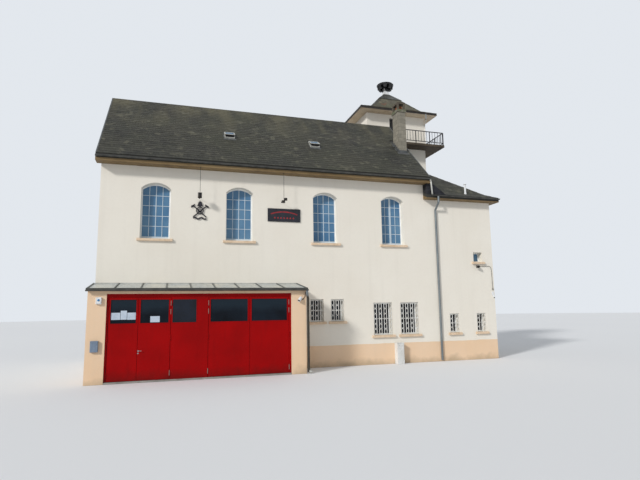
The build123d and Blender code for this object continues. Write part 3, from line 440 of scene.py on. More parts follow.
def cap_run(name, start, end, fall_left, fall_right, at_eave=False):
    """Lapped angle tiles from start to end, whose wings follow the two slopes beside them.

    At an eave the lowest tile is cut off square with the two edges that meet there.
    """
    run = end - start
    along = run.normalized()
    count = max(1, round(run.length / cap_step))
    step = run.length / count
    caps = primitive(bpy.ops.mesh.primitive_grid_add, x_subdivisions=2, y_subdivisions=1, size=2.0)
    raised = (fall_left + fall_right).normalized() * -0.02
    for point in caps.data.vertices:
        side = fall_left if point.co.x < -0.5 else fall_right if point.co.x > 0.5 else Vector()
        lapped = 0.012 if point.co.y < 0 else 0.0
        reach = 0.0 if point.co.y < 0 else step * cap_length / cap_step
        point.co = start + raised * (1 + lapped / 0.02) + side * cap_wing + along * reach
    bpy.ops.object.mode_set(mode="EDIT")
    bpy.ops.mesh.normals_make_consistent(inside=False)
    bpy.ops.object.mode_set(mode="OBJECT")
    shaped(caps, "SOLIDIFY", thickness=cap_thickness, offset=0.0)
    repeat(caps, count, along * step)
    if at_eave:
        cut((start, Vector((-run.x, 0.0, 0.0))))
        cut((start, Vector((0.0, -run.y, 0.0))))
    finished(name, caps, ridge_finish)


def hip_falls(low, high, to_left, to_right):
    """The directions down two slopes, square to the hip between them."""
    along = (high - low).normalized()
    return [(side - along * side.dot(along)).normalized() for side in (to_left, to_right)]


roof_fall = Vector((0.0, -math.cos(math.radians(44.0)), -math.sin(math.radians(44.0))))
cap_run("ridge_caps", at(left_verge, ridge_y, ridge_level), at(right_verge - 0.02, ridge_y, ridge_level), roof_fall,
        Vector((0.0, -roof_fall.y, roof_fall.z)))
hip_end = at(block_length + 0.05, edge_y + wing_run - 0.05, wing_top - 0.04)
for number, (angle, low, high) in enumerate(((27.0, wing_foot, wing_knee), (37.0, wing_knee, hip_end))):
    flat = math.cos(math.radians(angle))
    falls = hip_falls(low, high, Vector((-flat, 0.0, 0.0)), Vector((0.0, flat, 0.0)))
    cap_run("wing_hip_caps_%d" % number, low, high, *falls, at_eave=number == 0)
for lower, part in enumerate(("skirt", "cap")):
    corners = tower_corners[lower]
    for side in range(4):
        low, high = corners[side], tower_corners[lower + 1][side]
        falls = hip_falls(low, high, corners[side - 1] - low, corners[(side + 1) % 4] - low)
        cap_run("tower_hip_caps_%s_%d" % (part, side), low, high, *falls, at_eave=part == "skirt")


# Slate cheek: dark slates hung upright on boards, over the wing's roof at the main block's end. They
# lie under the eave, where no lichen grows, and their darker tone is painted shade from the eave.
def seams(finish, axis, pitch, low, high):
    """1 in the joints of courses or boards that repeat along an axis, and 0 between them."""
    across = maths(finish, "FRACT", maths(finish, "DIVIDE", along_axis(finish, axis), pitch))
    return ramp(finish, across, low, high, 1.0, 0.0)


cheek = material("cheek_slate", Roughness=0.7, Specular_IOR_Level=0.3)
# The cheek's slate tones are darker than the roof's: painted shade under the eave.
paint = clouded(cheek, (26, 27, 32), (48, 49, 54), 5.0, 6.0, 0.35, 0.65)
coat(cheek, mix(cheek, seams(cheek, "Z", 0.16, 0.06, 0.12), paint, (14, 14, 16)))
bump(cheek, noise(cheek, 38.0, 9.0), 0.003, 0.7)
dress("slate_cheek", cheek)


# Verges and flashings: the slates end at the gables against a narrow lead-grey strip, and strips of
# sheet lead close the joints round the chimney and along the foot of the slate cheek.
def block(low, high, edge=0.004):
    """A box between two corners with its edges softened."""
    low, high = Vector(low), Vector(high)
    return shaped(primitive(bpy.ops.mesh.primitive_cube_add, high - low, size=1.0, location=(low + high) / 2),
                  "BEVEL", width=edge, segments=2)


def box(x0, y0, z0, x1, y1, z1, edge=0.004):
    """The same between two points measured from the corner."""
    return block(at(x0, y0, z0), at(x1, y1, z1), edge)


def laid(piece, origin, along, up):
    """Moves a piece that is built about zero to a place where its X and Y run along and up."""
    outward = along.cross(up).normalized()
    across = outward.cross(along).normalized()
    piece.data.transform(Matrix.Translation(origin) @ Matrix((along, across, outward)).transposed().to_4x4())
    return piece


lead_finish = two_tone("sheet_lead", (66, 68, 70), (94, 96, 95), (6.0, 6.0, 0.3, 0.7), (22.0, 5.0, 0.004, 0.5),
                       Roughness=0.5, Metallic=0.25)
slope_up = Vector((0.0, ridge_y + eave_reach, ridge_level - eave_level)).normalized()
rightward, backward, upward = Vector((1.0, 0.0, 0.0)), Vector((0.0, 1.0, 0.0)), Vector((0.0, 0.0, 1.0))
roof_out = rightward.cross(slope_up)


def roof_level(y):
    """The height of the main roof's front slope at a depth."""
    return eave_level + (y + eave_reach) * slope


def roof_at(x, y, lift=0.0):
    """A point on the main roof's front slope, raised square to it."""
    return at(x, y, roof_level(y)) + roof_out * lift


def strip(origin, length, width, thickness=0.006, along=rightward, up=slope_up):
    """A flat strip from its low left corner, which lies on the main roof unless it is turned."""
    return laid(block((0.0, 0.0, 0.0), (length, width, thickness), 0.002), origin, along, up)


chimney_left, chimney_right, chimney_front, chimney_back = 13.97, 14.42, 1.32, 1.94
flashing, beside, sheet = 0.16, 0.1, 0.008
run, apron_width = (chimney_back - chimney_front) / slope_up.y, chimney_right - chimney_left + 2 * beside
apron = [strip(roof_at(x, y, 0.018), length, width, thickness) for x, y, length, width, thickness in (
    (chimney_left - beside, chimney_front - flashing * 0.72, apron_width, flashing, sheet),
    (chimney_left - beside, chimney_front - 0.02, beside, run, 0.006),
    (chimney_right, chimney_front - 0.02, beside, run, 0.006),
    (chimney_left - beside, chimney_back, apron_width, flashing, 0.006))]
finished("chimney_flashing", apron, lead_finish)
stride = (chimney_back - chimney_front) / 4
soakers = [box(x, y, roof_level(y), x + sheet, y + stride + 0.01, roof_level(y) + 0.26, 0.002)
           for x in (chimney_left - sheet, chimney_right) for y in (chimney_front + i * stride for i in range(4))]
soakers.append(box(chimney_left - sheet, chimney_front - sheet, roof_level(chimney_front),
                   chimney_right + sheet, chimney_front, roof_level(chimney_front) + 0.16, 0.002))
finished("chimney_soakers", soakers, lead_finish)
finished("cheek_flashing", strip(at(block_length, 0.06 - wing_reach, 9.0), 1.34, 0.05,
                                 along=Vector((0.805, 0.0, -0.593)).normalized(), up=backward), lead_finish)
for name, y_out in (("front_verge_trim", -eave_reach), ("rear_verge_trim", rear_reach)):
    trims = []
    for x in (left_verge - 0.005, right_verge - 0.045):
        low, high = at(x, y_out, eave_level), at(x, ridge_y, ridge_level)
        if name == "rear_verge_trim" and x > 0:
            low = low + (high - low) * ((y_out - tower_front) / (y_out - ridge_y))
        fall = (low - high).normalized()
        behind = fall.y > 0
        trims.append(laid(block((0.0, 0.0, -0.01), ((low - high).length, 0.05, 0.022), 0.003),
                          high + (rightward * 0.05 if behind else Vector()) + upward * 0.012, fall,
                          -rightward if behind else rightward))
    finished(name, trims, lead_finish)


# Eaves: boxed in with painted boards, stained brown by the weather. On the main block and the wing the
# boards get darker, browner tones than the tower's, as painted shade under the deep overhang. The
# tower's are thin: boards nailed under the rafters' ends, behind a dark metal edge, with the rendered
# wall run up to them.
edge_level, wall_head = 14.5295, 14.3395


def eave_boards(name, pale, brown, stain):
    """Painted boards with joints 0.12 m apart; above the tower's edge level it is dark metal."""
    boards = material(name, Roughness=0.6, Specular_IOR_Level=0.3)
    paint = clouded(boards, pale, brown, 1.2, 6.0, 0.35, 0.68, 1.0, (5.0, 5.0, 1.0))
    paint = clouded(boards, paint, stain, 7.0, 8.0, 0.5, 0.75, 0.5, (3.0, 3.0, 1.0))
    joint = seams(boards, "Y", 0.12, 0.0, 0.07)
    paint = mix(boards, maths(boards, "MULTIPLY", joint, 0.55), paint, (62, 50, 38))
    metal_edge = ramp(boards, along_axis(boards, "Z"), edge_level - 0.002, edge_level + 0.002)
    metal = clouded(boards, (36, 34, 33), (58, 54, 50), 9.0, 5.0, 0.3, 0.7)
    coat(boards, mix(boards, metal_edge, paint, metal))
    bump(boards, maths(boards, "SUBTRACT", noise(boards, 26.0, 6.0, (4.0, 4.0, 1.0)), joint), 0.004, 0.6)
    return boards


def around_tower(out, low, high, edge):
    """A slab over the whole tower that stands out from its walls."""
    return box(tower_left - out, tower_front - out, low, tower_right + out, tower_rear + out, high, edge)


# These darker, browner tones than the tower's boards below are painted shade under the overhang.
dress("main_eaves wing_eaves", eave_boards("eaves_paint", (132, 112, 80), (104, 84, 56), (78, 62, 42)))
tower_boards = eave_boards("tower_eaves_paint", (220, 204, 180), (194, 170, 140), (150, 122, 88))
finished("tower_eave_boards", [around_tower(tower_edge, edge_level, tower_levels[0], 0.008),
                               around_tower(tower_edge - 0.03, edge_level - 0.022, edge_level + 0.01, 0.003)],
         tower_boards, replaces="tower_eaves")
finished("tower_wall_head", around_tower(0.0, wall_head, edge_level - 0.02, 0.0005), cream_wall,
         replaces="tower_eaves")


# Gutters and rainwater pipes: half-round zinc gutters on strap hooks, and round pipes held off the
# wall by rings, with sleeves where two lengths meet. By the garage the pipe is painted dark, and on
# the tower it is nearly white.
gutter_finish = two_tone("gutter_zinc", (58, 58, 56), (88, 88, 84), (3.5, 7.0, 0.3, 0.7), (30.0, 5.0, 0.003, 0.4),
                         Roughness=0.5, Metallic=0.3)
pipe_finish = material("pipe_zinc", Roughness=0.45, Metallic=0.3)
paint = clouded(pipe_finish, (96, 104, 109), (126, 132, 134), 3.0, 7.0, 0.3, 0.7, 1.0, (1.0, 1.0, 3.0))
pipe_x = along_axis(pipe_finish, "X")
from_garage = maths(pipe_finish, "ABSOLUTE", maths(pipe_finish, "SUBTRACT", pipe_x, 8.07))
by_garage = maths(pipe_finish, "MULTIPLY", ramp(pipe_finish, from_garage, 0.14, 0.15, 1.0, 0.0),
                  ramp(pipe_finish, along_axis(pipe_finish, "Z"), 3.30, 3.31, 1.0, 0.0))
paint = mix(pipe_finish, by_garage, paint, clouded(pipe_finish, (44, 40, 36), (66, 60, 52), 6.0, 5.0, 0.3, 0.7))
coat(pipe_finish, mix(pipe_finish, ramp(pipe_finish, pipe_x, 17.50, 17.52), paint,
                      clouded(pipe_finish, (228, 224, 216), (204, 199, 190), 6.0, 5.0, 0.3, 0.7)))
bump(pipe_finish, noise(pipe_finish, 24.0, 5.0), 0.003, 0.4)
dress("gutters", gutter_finish)
dress("downpipes", pipe_finish)


def hoop(centre, axis, radius, width, thickness, lower_half=False):
    """A flat hoop about an axis; lower_half leaves only the half below the centre."""
    ring = primitive(bpy.ops.mesh.primitive_cylinder_add, vertices=20, radius=radius, depth=width,
                     end_fill_type="NOTHING", location=centre, rotation=axis.to_track_quat("Z", "Y").to_euler())
    if lower_half:
        cut((centre, upward), fill=False)
    return shaped(ring, "SOLIDIFY", thickness=thickness, offset=1.0)


for place, y, z, left, right, radius in (("front", -0.54, 8.94, left_verge, right_verge, 0.0605),
                                         ("rear", 8.06, 8.94, left_verge, tower_left, 0.0545),
                                         ("wing", -0.41, 8.18, 14.73, 18.6, 0.0605),
                                         ("garage", -1.845, 3.585, -0.06, 8.1, 0.0505)):
    span = right - left - 0.3
    count = round(span / 0.72) + 1
    straps = hoop(at(left + 0.15, y, z), rightward, radius, 0.03, 0.004, True)
    finished(place + "_gutter_straps", repeat(straps, count, (span / (count - 1), 0.0, 0.0)), gutter_finish)
for place, x, y, radius, levels, wall_y in (("wing", 15.10, -0.06, 0.05, (0.5, 2.2, 3.9, 5.6, 7.2), 0.0),
                                            ("rear", 0.35, 7.58, 0.05, (0.5, 2.2, 3.9, 5.6, 7.3), 7.52),
                                            ("garage", 8.10, -1.75, 0.05, (0.4, 1.7, 2.9), -1.70),
                                            ("tower", 17.755, 5.135, 0.035, (13.0, 13.8), 5.3)):
    rings = []
    inner, outer = sorted((wall_y, y))
    for height in levels:
        rings += [hoop(at(x, y, height), upward, radius, 0.03, 0.005),
                  hoop(at(x, y, height + 0.11), upward, radius, 0.09, 0.003),
                  box(x - 0.01, inner, height - 0.012, x + 0.01, outer, height + 0.012, 0.002)]
    finished(place + "_pipe_rings", rings, pipe_finish)


def tube(start, end, radius, sides=12, edge=0.0):
    """A round bar between two points."""
    run = end - start
    bar = primitive(bpy.ops.mesh.primitive_cylinder_add, vertices=sides, radius=radius, depth=run.length,
                    location=(start + end) / 2, rotation=run.to_track_quat("Z", "Y").to_euler())
    shaped(bar, "BEVEL", width=edge or radius * 0.15, limit_method="ANGLE")
    bpy.ops.object.shade_smooth_by_angle(angle=math.radians(40))
    return bar


def bar_run(points, radius):
    """Round bars from each point to the next."""
    return [tube(first, second, radius) for first, second in zip(points, points[1:])]


pale_zinc = two_tone("pale_zinc", (196, 196, 190), (168, 168, 162), (5.0, 6.0, 0.3, 0.7), (30.0, 5.0, 0.002, 0.4),
                     Roughness=0.4, Metallic=0.2)
finished("gutter_link", [tube(at(14.62, -0.54, 8.90), at(14.68, -0.50, 8.80), 0.038),
                         tube(at(14.68, -0.50, 8.82), at(14.78, -0.41, 8.20), 0.038)], pale_zinc)
finished("garage_pipe_shoe", [tube(at(8.10, -1.75, ground + 0.13), at(8.13, -1.75, ground + 0.085), 0.056),
                              tube(at(8.12, -1.75, ground + 0.10), at(8.24, -1.76, ground + 0.06), 0.05)],
         pale_zinc)


# Roof hatches: two small zinc hatches in the slates. Each lid is hinged at its top, holds a pane
# whose blue-grey is painted sky reflection, and stands ajar over the opening, which is filled by a
# dark sheet of painted shade.
dress("roof_hatches", pale_zinc)
# Blue-grey tones for panes: painted reflection of the sky.
sky_reflection_tones, sky_reflection_limits = ((68, 108, 144), (92, 128, 158)), (0.9, 3.0, 0.35, 0.65)
glass_high = two_tone("window_glass_high", *sky_reflection_tones, sky_reflection_limits, (1.6, 2.0, 0.006, 0.25), Roughness=0.08)
hatch_dark = two_tone("hatch_painted_shade", (16, 15, 14), (30, 27, 24), (9.0, 5.0, 0.0, 1.0), Roughness=0.8)
lid_length, lid_width, lid_open, rail = 0.46, 0.47, math.radians(13.0), 0.045
lid_up = slope_up * math.cos(lid_open) - roof_out * math.sin(lid_open)
for number, (x, y) in enumerate(((5.25, 1.41), (9.34, 1.28))):
    hinge = roof_at(x - lid_width / 2, y, 0.094) + slope_up * 0.25
    foot = hinge - lid_up * lid_length
    rails = [strip(foot, lid_width, rail, 0.022, up=lid_up),
             strip(hinge - lid_up * rail, lid_width, rail, 0.022, up=lid_up)]
    rails += [strip(foot + rightward * side + lid_up * 0.04, rail, lid_length - 0.08, 0.021, up=lid_up)
              for side in (0.0, lid_width - rail)]
    finished("hatch_lid_%d" % number, rails, pale_zinc)
    pane = strip(foot + rightward * 0.04 + lid_up * 0.04, lid_width - 0.08, lid_length - 0.08, 0.012, up=lid_up)
    finished("hatch_pane_%d" % number, pane, glass_high)
    # A dark sheet under the lid stands for the opening's inside: painted shade.
    throat = block((0.035, 0.0, -0.02), (lid_width - 0.035, 0.43, 0.003), 0.002)
    for point in throat.data.vertices:
        if point.co.y < 0.2 and point.co.z > -0.005:
            point.co.z += 0.43 * math.sin(lid_open)
    finished("hatch_opening_%d" % number, laid(throat, hinge - slope_up * 0.44, rightward, slope_up), hatch_dark)
    skirt = [strip(roof_at(x + side, y, 0.017) + slope_up * up, length, width, thickness)
             for side, up, length, width, thickness in ((-0.29, -0.40, 0.58, 0.13, 0.008),
                                                        (-0.29, -0.29, 0.065, 0.62, 0.006),
                                                        (0.225, -0.29, 0.065, 0.62, 0.006),
                                                        (-0.29, 0.27, 0.58, 0.08, 0.006))]
    finished("hatch_flashing_%d" % number, skirt, lead_finish)


# Chimney: grey blocks with mortar joints, under a weathered head whose corner posts carry a slab
# over a clay flue. Moss has turned the collar green.
mortar, moss_level = (106, 101, 90), 13.0
blocks = material("chimney_blocks", Roughness=0.85)
height = along_axis(blocks, "Z")
round_corner = maths(blocks, "ADD", along_axis(blocks, "X"), along_axis(blocks, "Y"))
place = node(blocks, "ShaderNodeCombineXYZ", {0: round_corner, 1: height}, "Vector")
masonry = node(blocks, "ShaderNodeTexBrick",
               {"Vector": place, "Color1": colour(142, 137, 124), "Color2": colour(124, 120, 109),
                "Mortar": colour(*mortar), "Scale": 1.0, "Mortar Size": 0.008, "Mortar Smooth": 0.4,
                "Brick Width": 0.30, "Row Height": 0.20}, "Color")
paint = clouded(blocks, masonry, mortar, 6.0, 8.0, 0.4, 0.75, 0.6)
moss = maths(blocks, "MULTIPLY", ramp(blocks, height, moss_level, moss_level + 0.08),
             cloud(blocks, 8.0, 6.0, 0.35, 0.6))
coat(blocks, mix(blocks, moss, paint, (84, 90, 62)))
sunk = maths(blocks, "MULTIPLY", masonry.node.outputs["Fac"], 0.8)
bump(blocks, maths(blocks, "SUBTRACT", noise(blocks, 30.0, 7.0), sunk), 0.006, 0.8)
dress("chimney", blocks)
dress("chimney_cap", concrete("chimney_head", (96, 88, 76), (66, 60, 51), (36, 32, 27)))


def pick(choose):
    """Selects only the chosen faces of the active piece, and leaves it in edit mode."""
    bpy.ops.object.mode_set(mode="EDIT")
    bpy.ops.mesh.select_mode(type="FACE")
    bpy.ops.mesh.select_all(action="DESELECT")
    bpy.ops.object.mode_set(mode="OBJECT")
    for face in choose(bpy.context.object.data.polygons):
        face.select = True
    bpy.ops.object.mode_set(mode="EDIT")


clay = two_tone("flue_clay", (150, 86, 46), (96, 58, 34), (8.0, 6.0, 0.35, 0.7), (50.0, 6.0, 0.003, 0.6),
                Roughness=0.8)
flue = box(14.085, 1.45, 13.15, 14.305, 1.81, 13.40, 0.012)
pick(lambda faces: [max(faces, key=lambda face: (round(face.center.z, 4), face.area))])
bpy.ops.mesh.inset(thickness=0.025)
bpy.ops.transform.translate(value=(0, 0, -0.18))
bpy.ops.object.mode_set(mode="OBJECT")
finished("flue_liner", flue, clay)


# Tower: a dark door in the gallery's front wall, wrought-iron railings with forged joints, and on
# top a painted pedestal that carries the black cast siren. Sheet metal caps the roof under it.
iron_finish = two_tone("railing_iron", (34, 38, 46), (58, 56, 54), (14.0, 5.0, 0.35, 0.7), (60.0, 4.0, 0.002, 0.5),
                       Roughness=0.5, Metallic=0.3)
dress("gallery_railings", iron_finish)
door = material("gallery_door_paint", Roughness=0.55)
seam = seams(door, "X", 0.1, 0.0, 0.06)
paint = clouded(door, (16, 14, 14), (30, 27, 24), 5.0, 6.0, 0.3, 0.7, 1.0, (1.0, 1.0, 5.0))
coat(door, mix(door, seam, paint, (8, 7, 7)))
bump(door, maths(door, "SUBTRACT", noise(door, 30.0, 5.0, (1.0, 1.0, 6.0)), seam), 0.004, 0.7)
dress("gallery_door", door)
siren_finish = two_tone("siren_paint", (20, 21, 24), (50, 50, 50), (6.0, 7.0, 0.45, 0.75), (35.0, 5.0, 0.003, 0.4),
                        Roughness=0.42, Metallic=0.2)
dress("siren", siren_finish)
dress("siren_pedestal", two_tone("pedestal_paint", (222, 224, 226), (176, 176, 174),
                                 (5.0, 7.0, 0.4, 0.7, 1.0, (1.0, 1.0, 3.0)), (40.0, 4.0, 0.002, 0.3), Roughness=0.5))
roof_cap = primitive(bpy.ops.mesh.primitive_cube_add, size=2.0)
cap_rise = tower_levels[2] - tower_levels[1]
for point in roof_cap.data.vertices:
    right, back = point.co.x > 0, point.co.y > 0
    share, out = (0.0, 0.006) if point.co.z > 0 else (0.50 / cap_rise, 0.055)
    reach = Vector(tower_steps[2]).lerp(Vector(tower_steps[1]), share)
    point.co = at(reach[1] + out if right else reach[0] - out, reach[3] + out if back else reach[2] - out,
                  tower_levels[2] + 0.03 - share * cap_rise)
pick(lambda faces: [min(faces, key=lambda face: face.center.z)])
bpy.ops.mesh.delete(type="FACE")
bpy.ops.object.mode_set(mode="OBJECT")
finished("tower_roof_cap", shaped(roof_cap, "SOLIDIFY", thickness=0.012, offset=-1.0), gutter_finish)
knob_level, siren_level = 13.51, 16.5995
finished("gallery_door_knob", tube(at(16.04, 5.215, knob_level), at(16.04, 5.16, knob_level), 0.018), iron_finish)
fixings = [tube(at(x, y, siren_level + 0.27), at(x, y, siren_level + 0.30), 0.02, 6)
           for x, y in ((siren_x + 0.24 * math.cos(turn), siren_y + 0.24 * math.sin(turn))
                        for turn in (math.radians(30 + 60 * i) for i in range(6)))]
fixings.append(hoop(at(siren_x, siren_y, siren_level + 0.02), upward, 0.191, 0.05, 0.02))
finished("siren_fixings", fixings, siren_finish)


# Garage roof: sheet metal with standing seams, pale blue-grey and dull, with lime runs, and a band
# of painted shade along each side of every seam. A dark metal strip closes its front edge, and a pale
# one its joint with the wall.
roll_step, annex_reach = (8.16 - 0.035) / 9, 8.04
sheets = material("garage_sheet", Roughness=0.42, Metallic=0.35)
paint = clouded(sheets, (176, 183, 184), (204, 203, 193), 1.4, 6.0, 0.35, 0.68, 1.0, (1.0, 5.0, 1.0))
paint = clouded(sheets, paint, (140, 143, 135), 7.0, 8.0, 0.52, 0.75, 0.5, (1.0, 4.0, 1.0))
roll = maths(sheets, "DIVIDE", maths(sheets, "ADD", along_axis(sheets, "X"), 0.06 - 0.0175), roll_step)
roll = maths(sheets, "SUBTRACT", maths(sheets, "FRACT", maths(sheets, "ADD", roll, 0.5)), 0.5)
# Darker bands beside each standing seam: painted shade from the seams' height.
painted_roll_shade = ramp(sheets, maths(sheets, "ABSOLUTE", roll), 0.030, 0.040, 1.0, 0.0)
coat(sheets, mix(sheets, painted_roll_shade, paint, (92, 96, 96)))
bump(sheets, noise(sheets, 3.0, 3.0), 0.006, 0.4)
dress("annex_roof", sheets)
finished("annex_flashing", box(0.0, -0.03, 3.895, annex_reach, 0.0, 3.935), pale_zinc)
finished("garage_roof_edge", box(-0.06, -1.80, 3.545, annex_reach + 0.06, -1.785, 3.65, 0.003), gutter_finish)


# Garage doors: side-hung timber leaves in red gloss paint under a red head, with a row of panes at
# the top. Most hinges are bare steel before the paint, some are painted over, and beads hold the panes.
door_plane = -1.64
red = material("door_paint", Specular_IOR_Level=0.1)
height = along_axis(red, "Z")
paint = clouded(red, (152, 3, 9), (138, 2, 8), 0.9, 4.0, 0.35, 0.65)
paint = clouded(red, paint, (112, 12, 14), 5.0, 8.0, 0.56, 0.8, 0.35, (1.0, 1.0, 6.0))
splashed = maths(red, "ADD", height, cloud(red, 3.0, 7.0, 0.3, 0.7, 0.15, to_low=-0.1))
paint = mix(red, ramp(red, splashed, 0.36, 0.75, 0.55, 0.0), paint, (84, 24, 22))
before_paint = ramp(red, along_axis(red, "Y"), door_plane - 0.0075, door_plane - 0.0065, 1.0, 0.0)
off_middle = ramp(red, maths(red, "ABSOLUTE", maths(red, "SUBTRACT", height, 1.83)), 0.30, 0.31)
bare = maths(red, "MULTIPLY", ramp(red, along_axis(red, "X"), 1.19, 1.21), off_middle)
steel = clouded(red, (150, 130, 124), (120, 96, 90), 40.0, 4.0, 0.4, 0.7)
coat(red, mix(red, maths(red, "MULTIPLY", before_paint, bare), paint, steel))
coat(red, cloud(red, 2.4, 5.0, 0.3, 0.7, 0.5, to_low=0.34), "Roughness")
bump(red, maths(red, "ADD", noise(red, 1.2, 2.0), maths(red, "MULTIPLY", noise(red, 60.0, 4.0), 0.12)), 0.008, 0.35)
dress("door_posts door_head fixed_panel side_leaf walk_leaf gate_leaf_left gate_leaf_right", red)
# The door panes' colour is painted reflection: near black, lighter above 2.7 to 3.0 m.
glass_low = material("door_glass", Roughness=0.1, Specular_IOR_Level=0.15)
door_glass_reflection = clouded(glass_low, (9, 14, 22), (22, 31, 41), 1.1, 3.0, 0.35, 0.68)
high = maths(glass_low, "ADD", along_axis(glass_low, "Z"), cloud(glass_low, 1.5, 4.0, 0.3, 0.7, 0.1, to_low=-0.1))
coat(glass_low, mix(glass_low, ramp(glass_low, high, 2.7, 3.0), door_glass_reflection, (30, 41, 50)))
bump(glass_low, noise(glass_low, 1.3, 2.0), 0.004, 0.2)
dress("side_leaf_glass walk_leaf_glass gate_left_glass gate_right_glass", glass_low)


def frame_of(low, high, width, edge):
    """A flat frame upright on the front: a sheet with its middle taken out by an inset face."""
    sheet = block(low, high, 0.0005)
    pick(lambda faces: sorted(faces, key=lambda face: face.area)[-2:])
    bpy.ops.mesh.inset(thickness=width, use_individual=True)
    bpy.ops.mesh.bridge_edge_loops()
    bpy.ops.mesh.select_all(action="SELECT")
    bpy.ops.mesh.normals_make_consistent(inside=False)
    bpy.ops.object.mode_set(mode="OBJECT")
    return shaped(sheet, "BEVEL", width=edge, limit_method="ANGLE")


pane_bottom, pane_top = 2.372, 3.232
for body, left, right in (("side_leaf", 0.768, 1.641), ("walk_leaf", 1.781, 2.774), ("building", 2.901, 3.769),
                          ("gate_leaf_left", 4.282, 5.702), ("gate_leaf_right", 5.842, 7.262)):
    bead = frame_of(at(left - 0.02, door_plane - 0.006, pane_bottom - 0.02),
                    at(right + 0.02, door_plane + 0.012, pane_top + 0.02), 0.024, 0.003)
    finished("pane_bead_" + body, bead, red, body)

steel_finish = two_tone("brushed_steel", (176, 178, 180), (146, 146, 144), (30.0, 5.0, 0.35, 0.7),
                        (90.0, 4.0, 0.001, 0.5, (6.0, 1.0, 1.0)), Roughness=0.35, Metallic=0.75)
dress("door_handle", steel_finish)
lock_x, lock_level = 1.748, 1.305
lock = [tube(at(lock_x, door_plane, lock_level), at(lock_x, door_plane - depth, lock_level), radius, sides)
        for depth, radius, sides in ((0.007, 0.024, 20), (0.012, 0.009, 12))]
finished("door_lock", lock, steel_finish, "walk_leaf")
finished("head_rail_strip", box(0.632, door_plane - 0.004, 3.365, 7.428, door_plane + 0.002, 3.432, 0.002), red)
# Pale paper notices; their darker blue-grey tint is painted shade.
paper = two_tone("blank_notice", (190, 202, 216), (172, 186, 202), (7.0, 4.0, 0.3, 0.7), (5.0, 2.0, 0.004, 0.4),
                 Roughness=0.8)
sheet_plane = -1.6195
for body, places in (("side_leaf", ((0.79, 2.512, 1.098, 2.764), (1.112, 2.515, 1.322, 2.836),
                                    (1.336, 2.51, 1.625, 2.762))),
                     ("walk_leaf", ((2.128, 2.40, 2.456, 2.62),))):
    finished("notices_" + body, [box(x0, sheet_plane - 0.0015, z0, x1, sheet_plane, z1, 0.0004)
                                 for x0, z0, x1, z1 in places], paper, body)


# Windows: white timber frames set deep in the wall. The arched ones are divided by thin bars into
# four columns and five rows, and the last has a broad meeting stile. The bars are white, shown
# blue-grey as painted shade in the deep reveal.
dress("window_frames", two_tone("window_white", (236, 238, 238), (218, 221, 222), (3.0, 5.0, 0.35, 0.7),
                                (45.0, 5.0, 0.002, 0.35), Roughness=0.5))
# The panes' colour is painted reflection: near black below 4.2 to 4.6 m, sky blue-grey above.
panes = material("window_glass", Roughness=0.08, Specular_IOR_Level=0.3)
low_glass_reflection = clouded(panes, (11, 16, 26), (25, 33, 46), 1.3, 3.0, 0.35, 0.68)
coat(panes, mix(panes, ramp(panes, along_axis(panes, "Z"), 4.2, 4.6), low_glass_reflection,
                clouded(panes, *sky_reflection_tones, *sky_reflection_limits)))
bump(panes, noise(panes, 1.6, 2.0), 0.006, 0.25)
dress("window_glass", panes)
# White bars given a blue-grey tone: painted shade in the deep reveal.
shaded_bar_finish = two_tone("glazing_bar_shaded_white", (170, 186, 198), (192, 204, 212), (4.0, 4.0, 0.35, 0.65),
                      (45.0, 5.0, 0.002, 0.35), Roughness=0.5)
arch_width, arch_sill, arch_crown, arch_rise, frame_bar = 1.165, 5.745, 8.075, 0.245, 0.055
arch_radius = ((arch_width / 2) ** 2 + arch_rise ** 2) / (2 * arch_rise)
pane_depth, bar_wide, bar_deep, low_rail, seat = 0.33, 0.026, 0.034, 0.06, 0.005


def arch_bars(name, origin, along, middle=0.034):
    """The glazing bars of one arched window; origin is its sill's end, in the panes' plane."""
    left, right = frame_bar, arch_width - frame_bar
    bottom, top = frame_bar + low_rail, arch_crown - arch_sill - frame_bar
    centre = arch_crown - arch_sill - arch_radius
    bars = [block((left - seat, frame_bar - seat, -0.022), (right + seat, bottom, 0.022), 0.005)]
    for column in range(1, 4):
        x = left + (right - left) * column / 4
        half = (middle if column == 2 else bar_wide) / 2
        reach = centre + math.sqrt((arch_radius - frame_bar) ** 2 - (x - arch_width / 2) ** 2) + 0.01
        bars.append(block((x - half, bottom - seat, -bar_deep / 2), (x + half, reach, bar_deep / 2), 0.005))
    for row in range(1, 5):
        z = bottom + (top - bottom) * row / 5
        bars.append(block((left - seat, z - bar_wide / 2, -bar_deep / 2 + 0.002),
                          (right + seat, z + bar_wide / 2, bar_deep / 2 - 0.002), 0.005))
    finished(name, [laid(bar, origin, along, upward) for bar in bars], shaded_bar_finish)


for number, left in enumerate((1.55, 4.99, 8.88, 12.24)):
    arch_bars("front_arch_bars_%d" % number, at(left, pane_depth, arch_sill), rightward,
              0.095 if number == 3 else 0.034)
for number, left in enumerate((1.55, 4.99, 8.88)):
    arch_bars("rear_arch_bars_%d" % number, at(left + arch_width, block_depth - pane_depth, arch_sill), -rightward)
for number, front in enumerate((1.5, 4.86)):
    arch_bars("gable_arch_bars_%d" % number, at(pane_depth, front + arch_width, arch_sill), -backward)


# Sills: pale clay-coloured slabs that throw the rain off.
sill = material("sill_stone", Roughness=0.75)
paint = clouded(sill, (226, 202, 176), (204, 178, 148), 4.0, 7.0, 0.3, 0.7)
coat(sill, clouded(sill, paint, (160, 136, 108), 16.0, 6.0, 0.55, 0.75, 0.6))
bump(sill, noise(sill, 36.0, 7.0), 0.003, 0.6)
dress("window_sills", sill)


# Window grilles: white wrought-iron bars in front of the low windows, in chains of upright rings
# held between pairs of straight bars, with rails at the top, the middle and the bottom.
grille_bar, grille_ring, chain_width, grille_out = 0.016, 0.007, 0.114, -0.035
grille_finish = two_tone("grille_white", (232, 232, 228), (204, 202, 194), (6.0, 7.0, 0.4, 0.72),
                         (70.0, 4.0, 0.001, 0.4), Roughness=0.5)


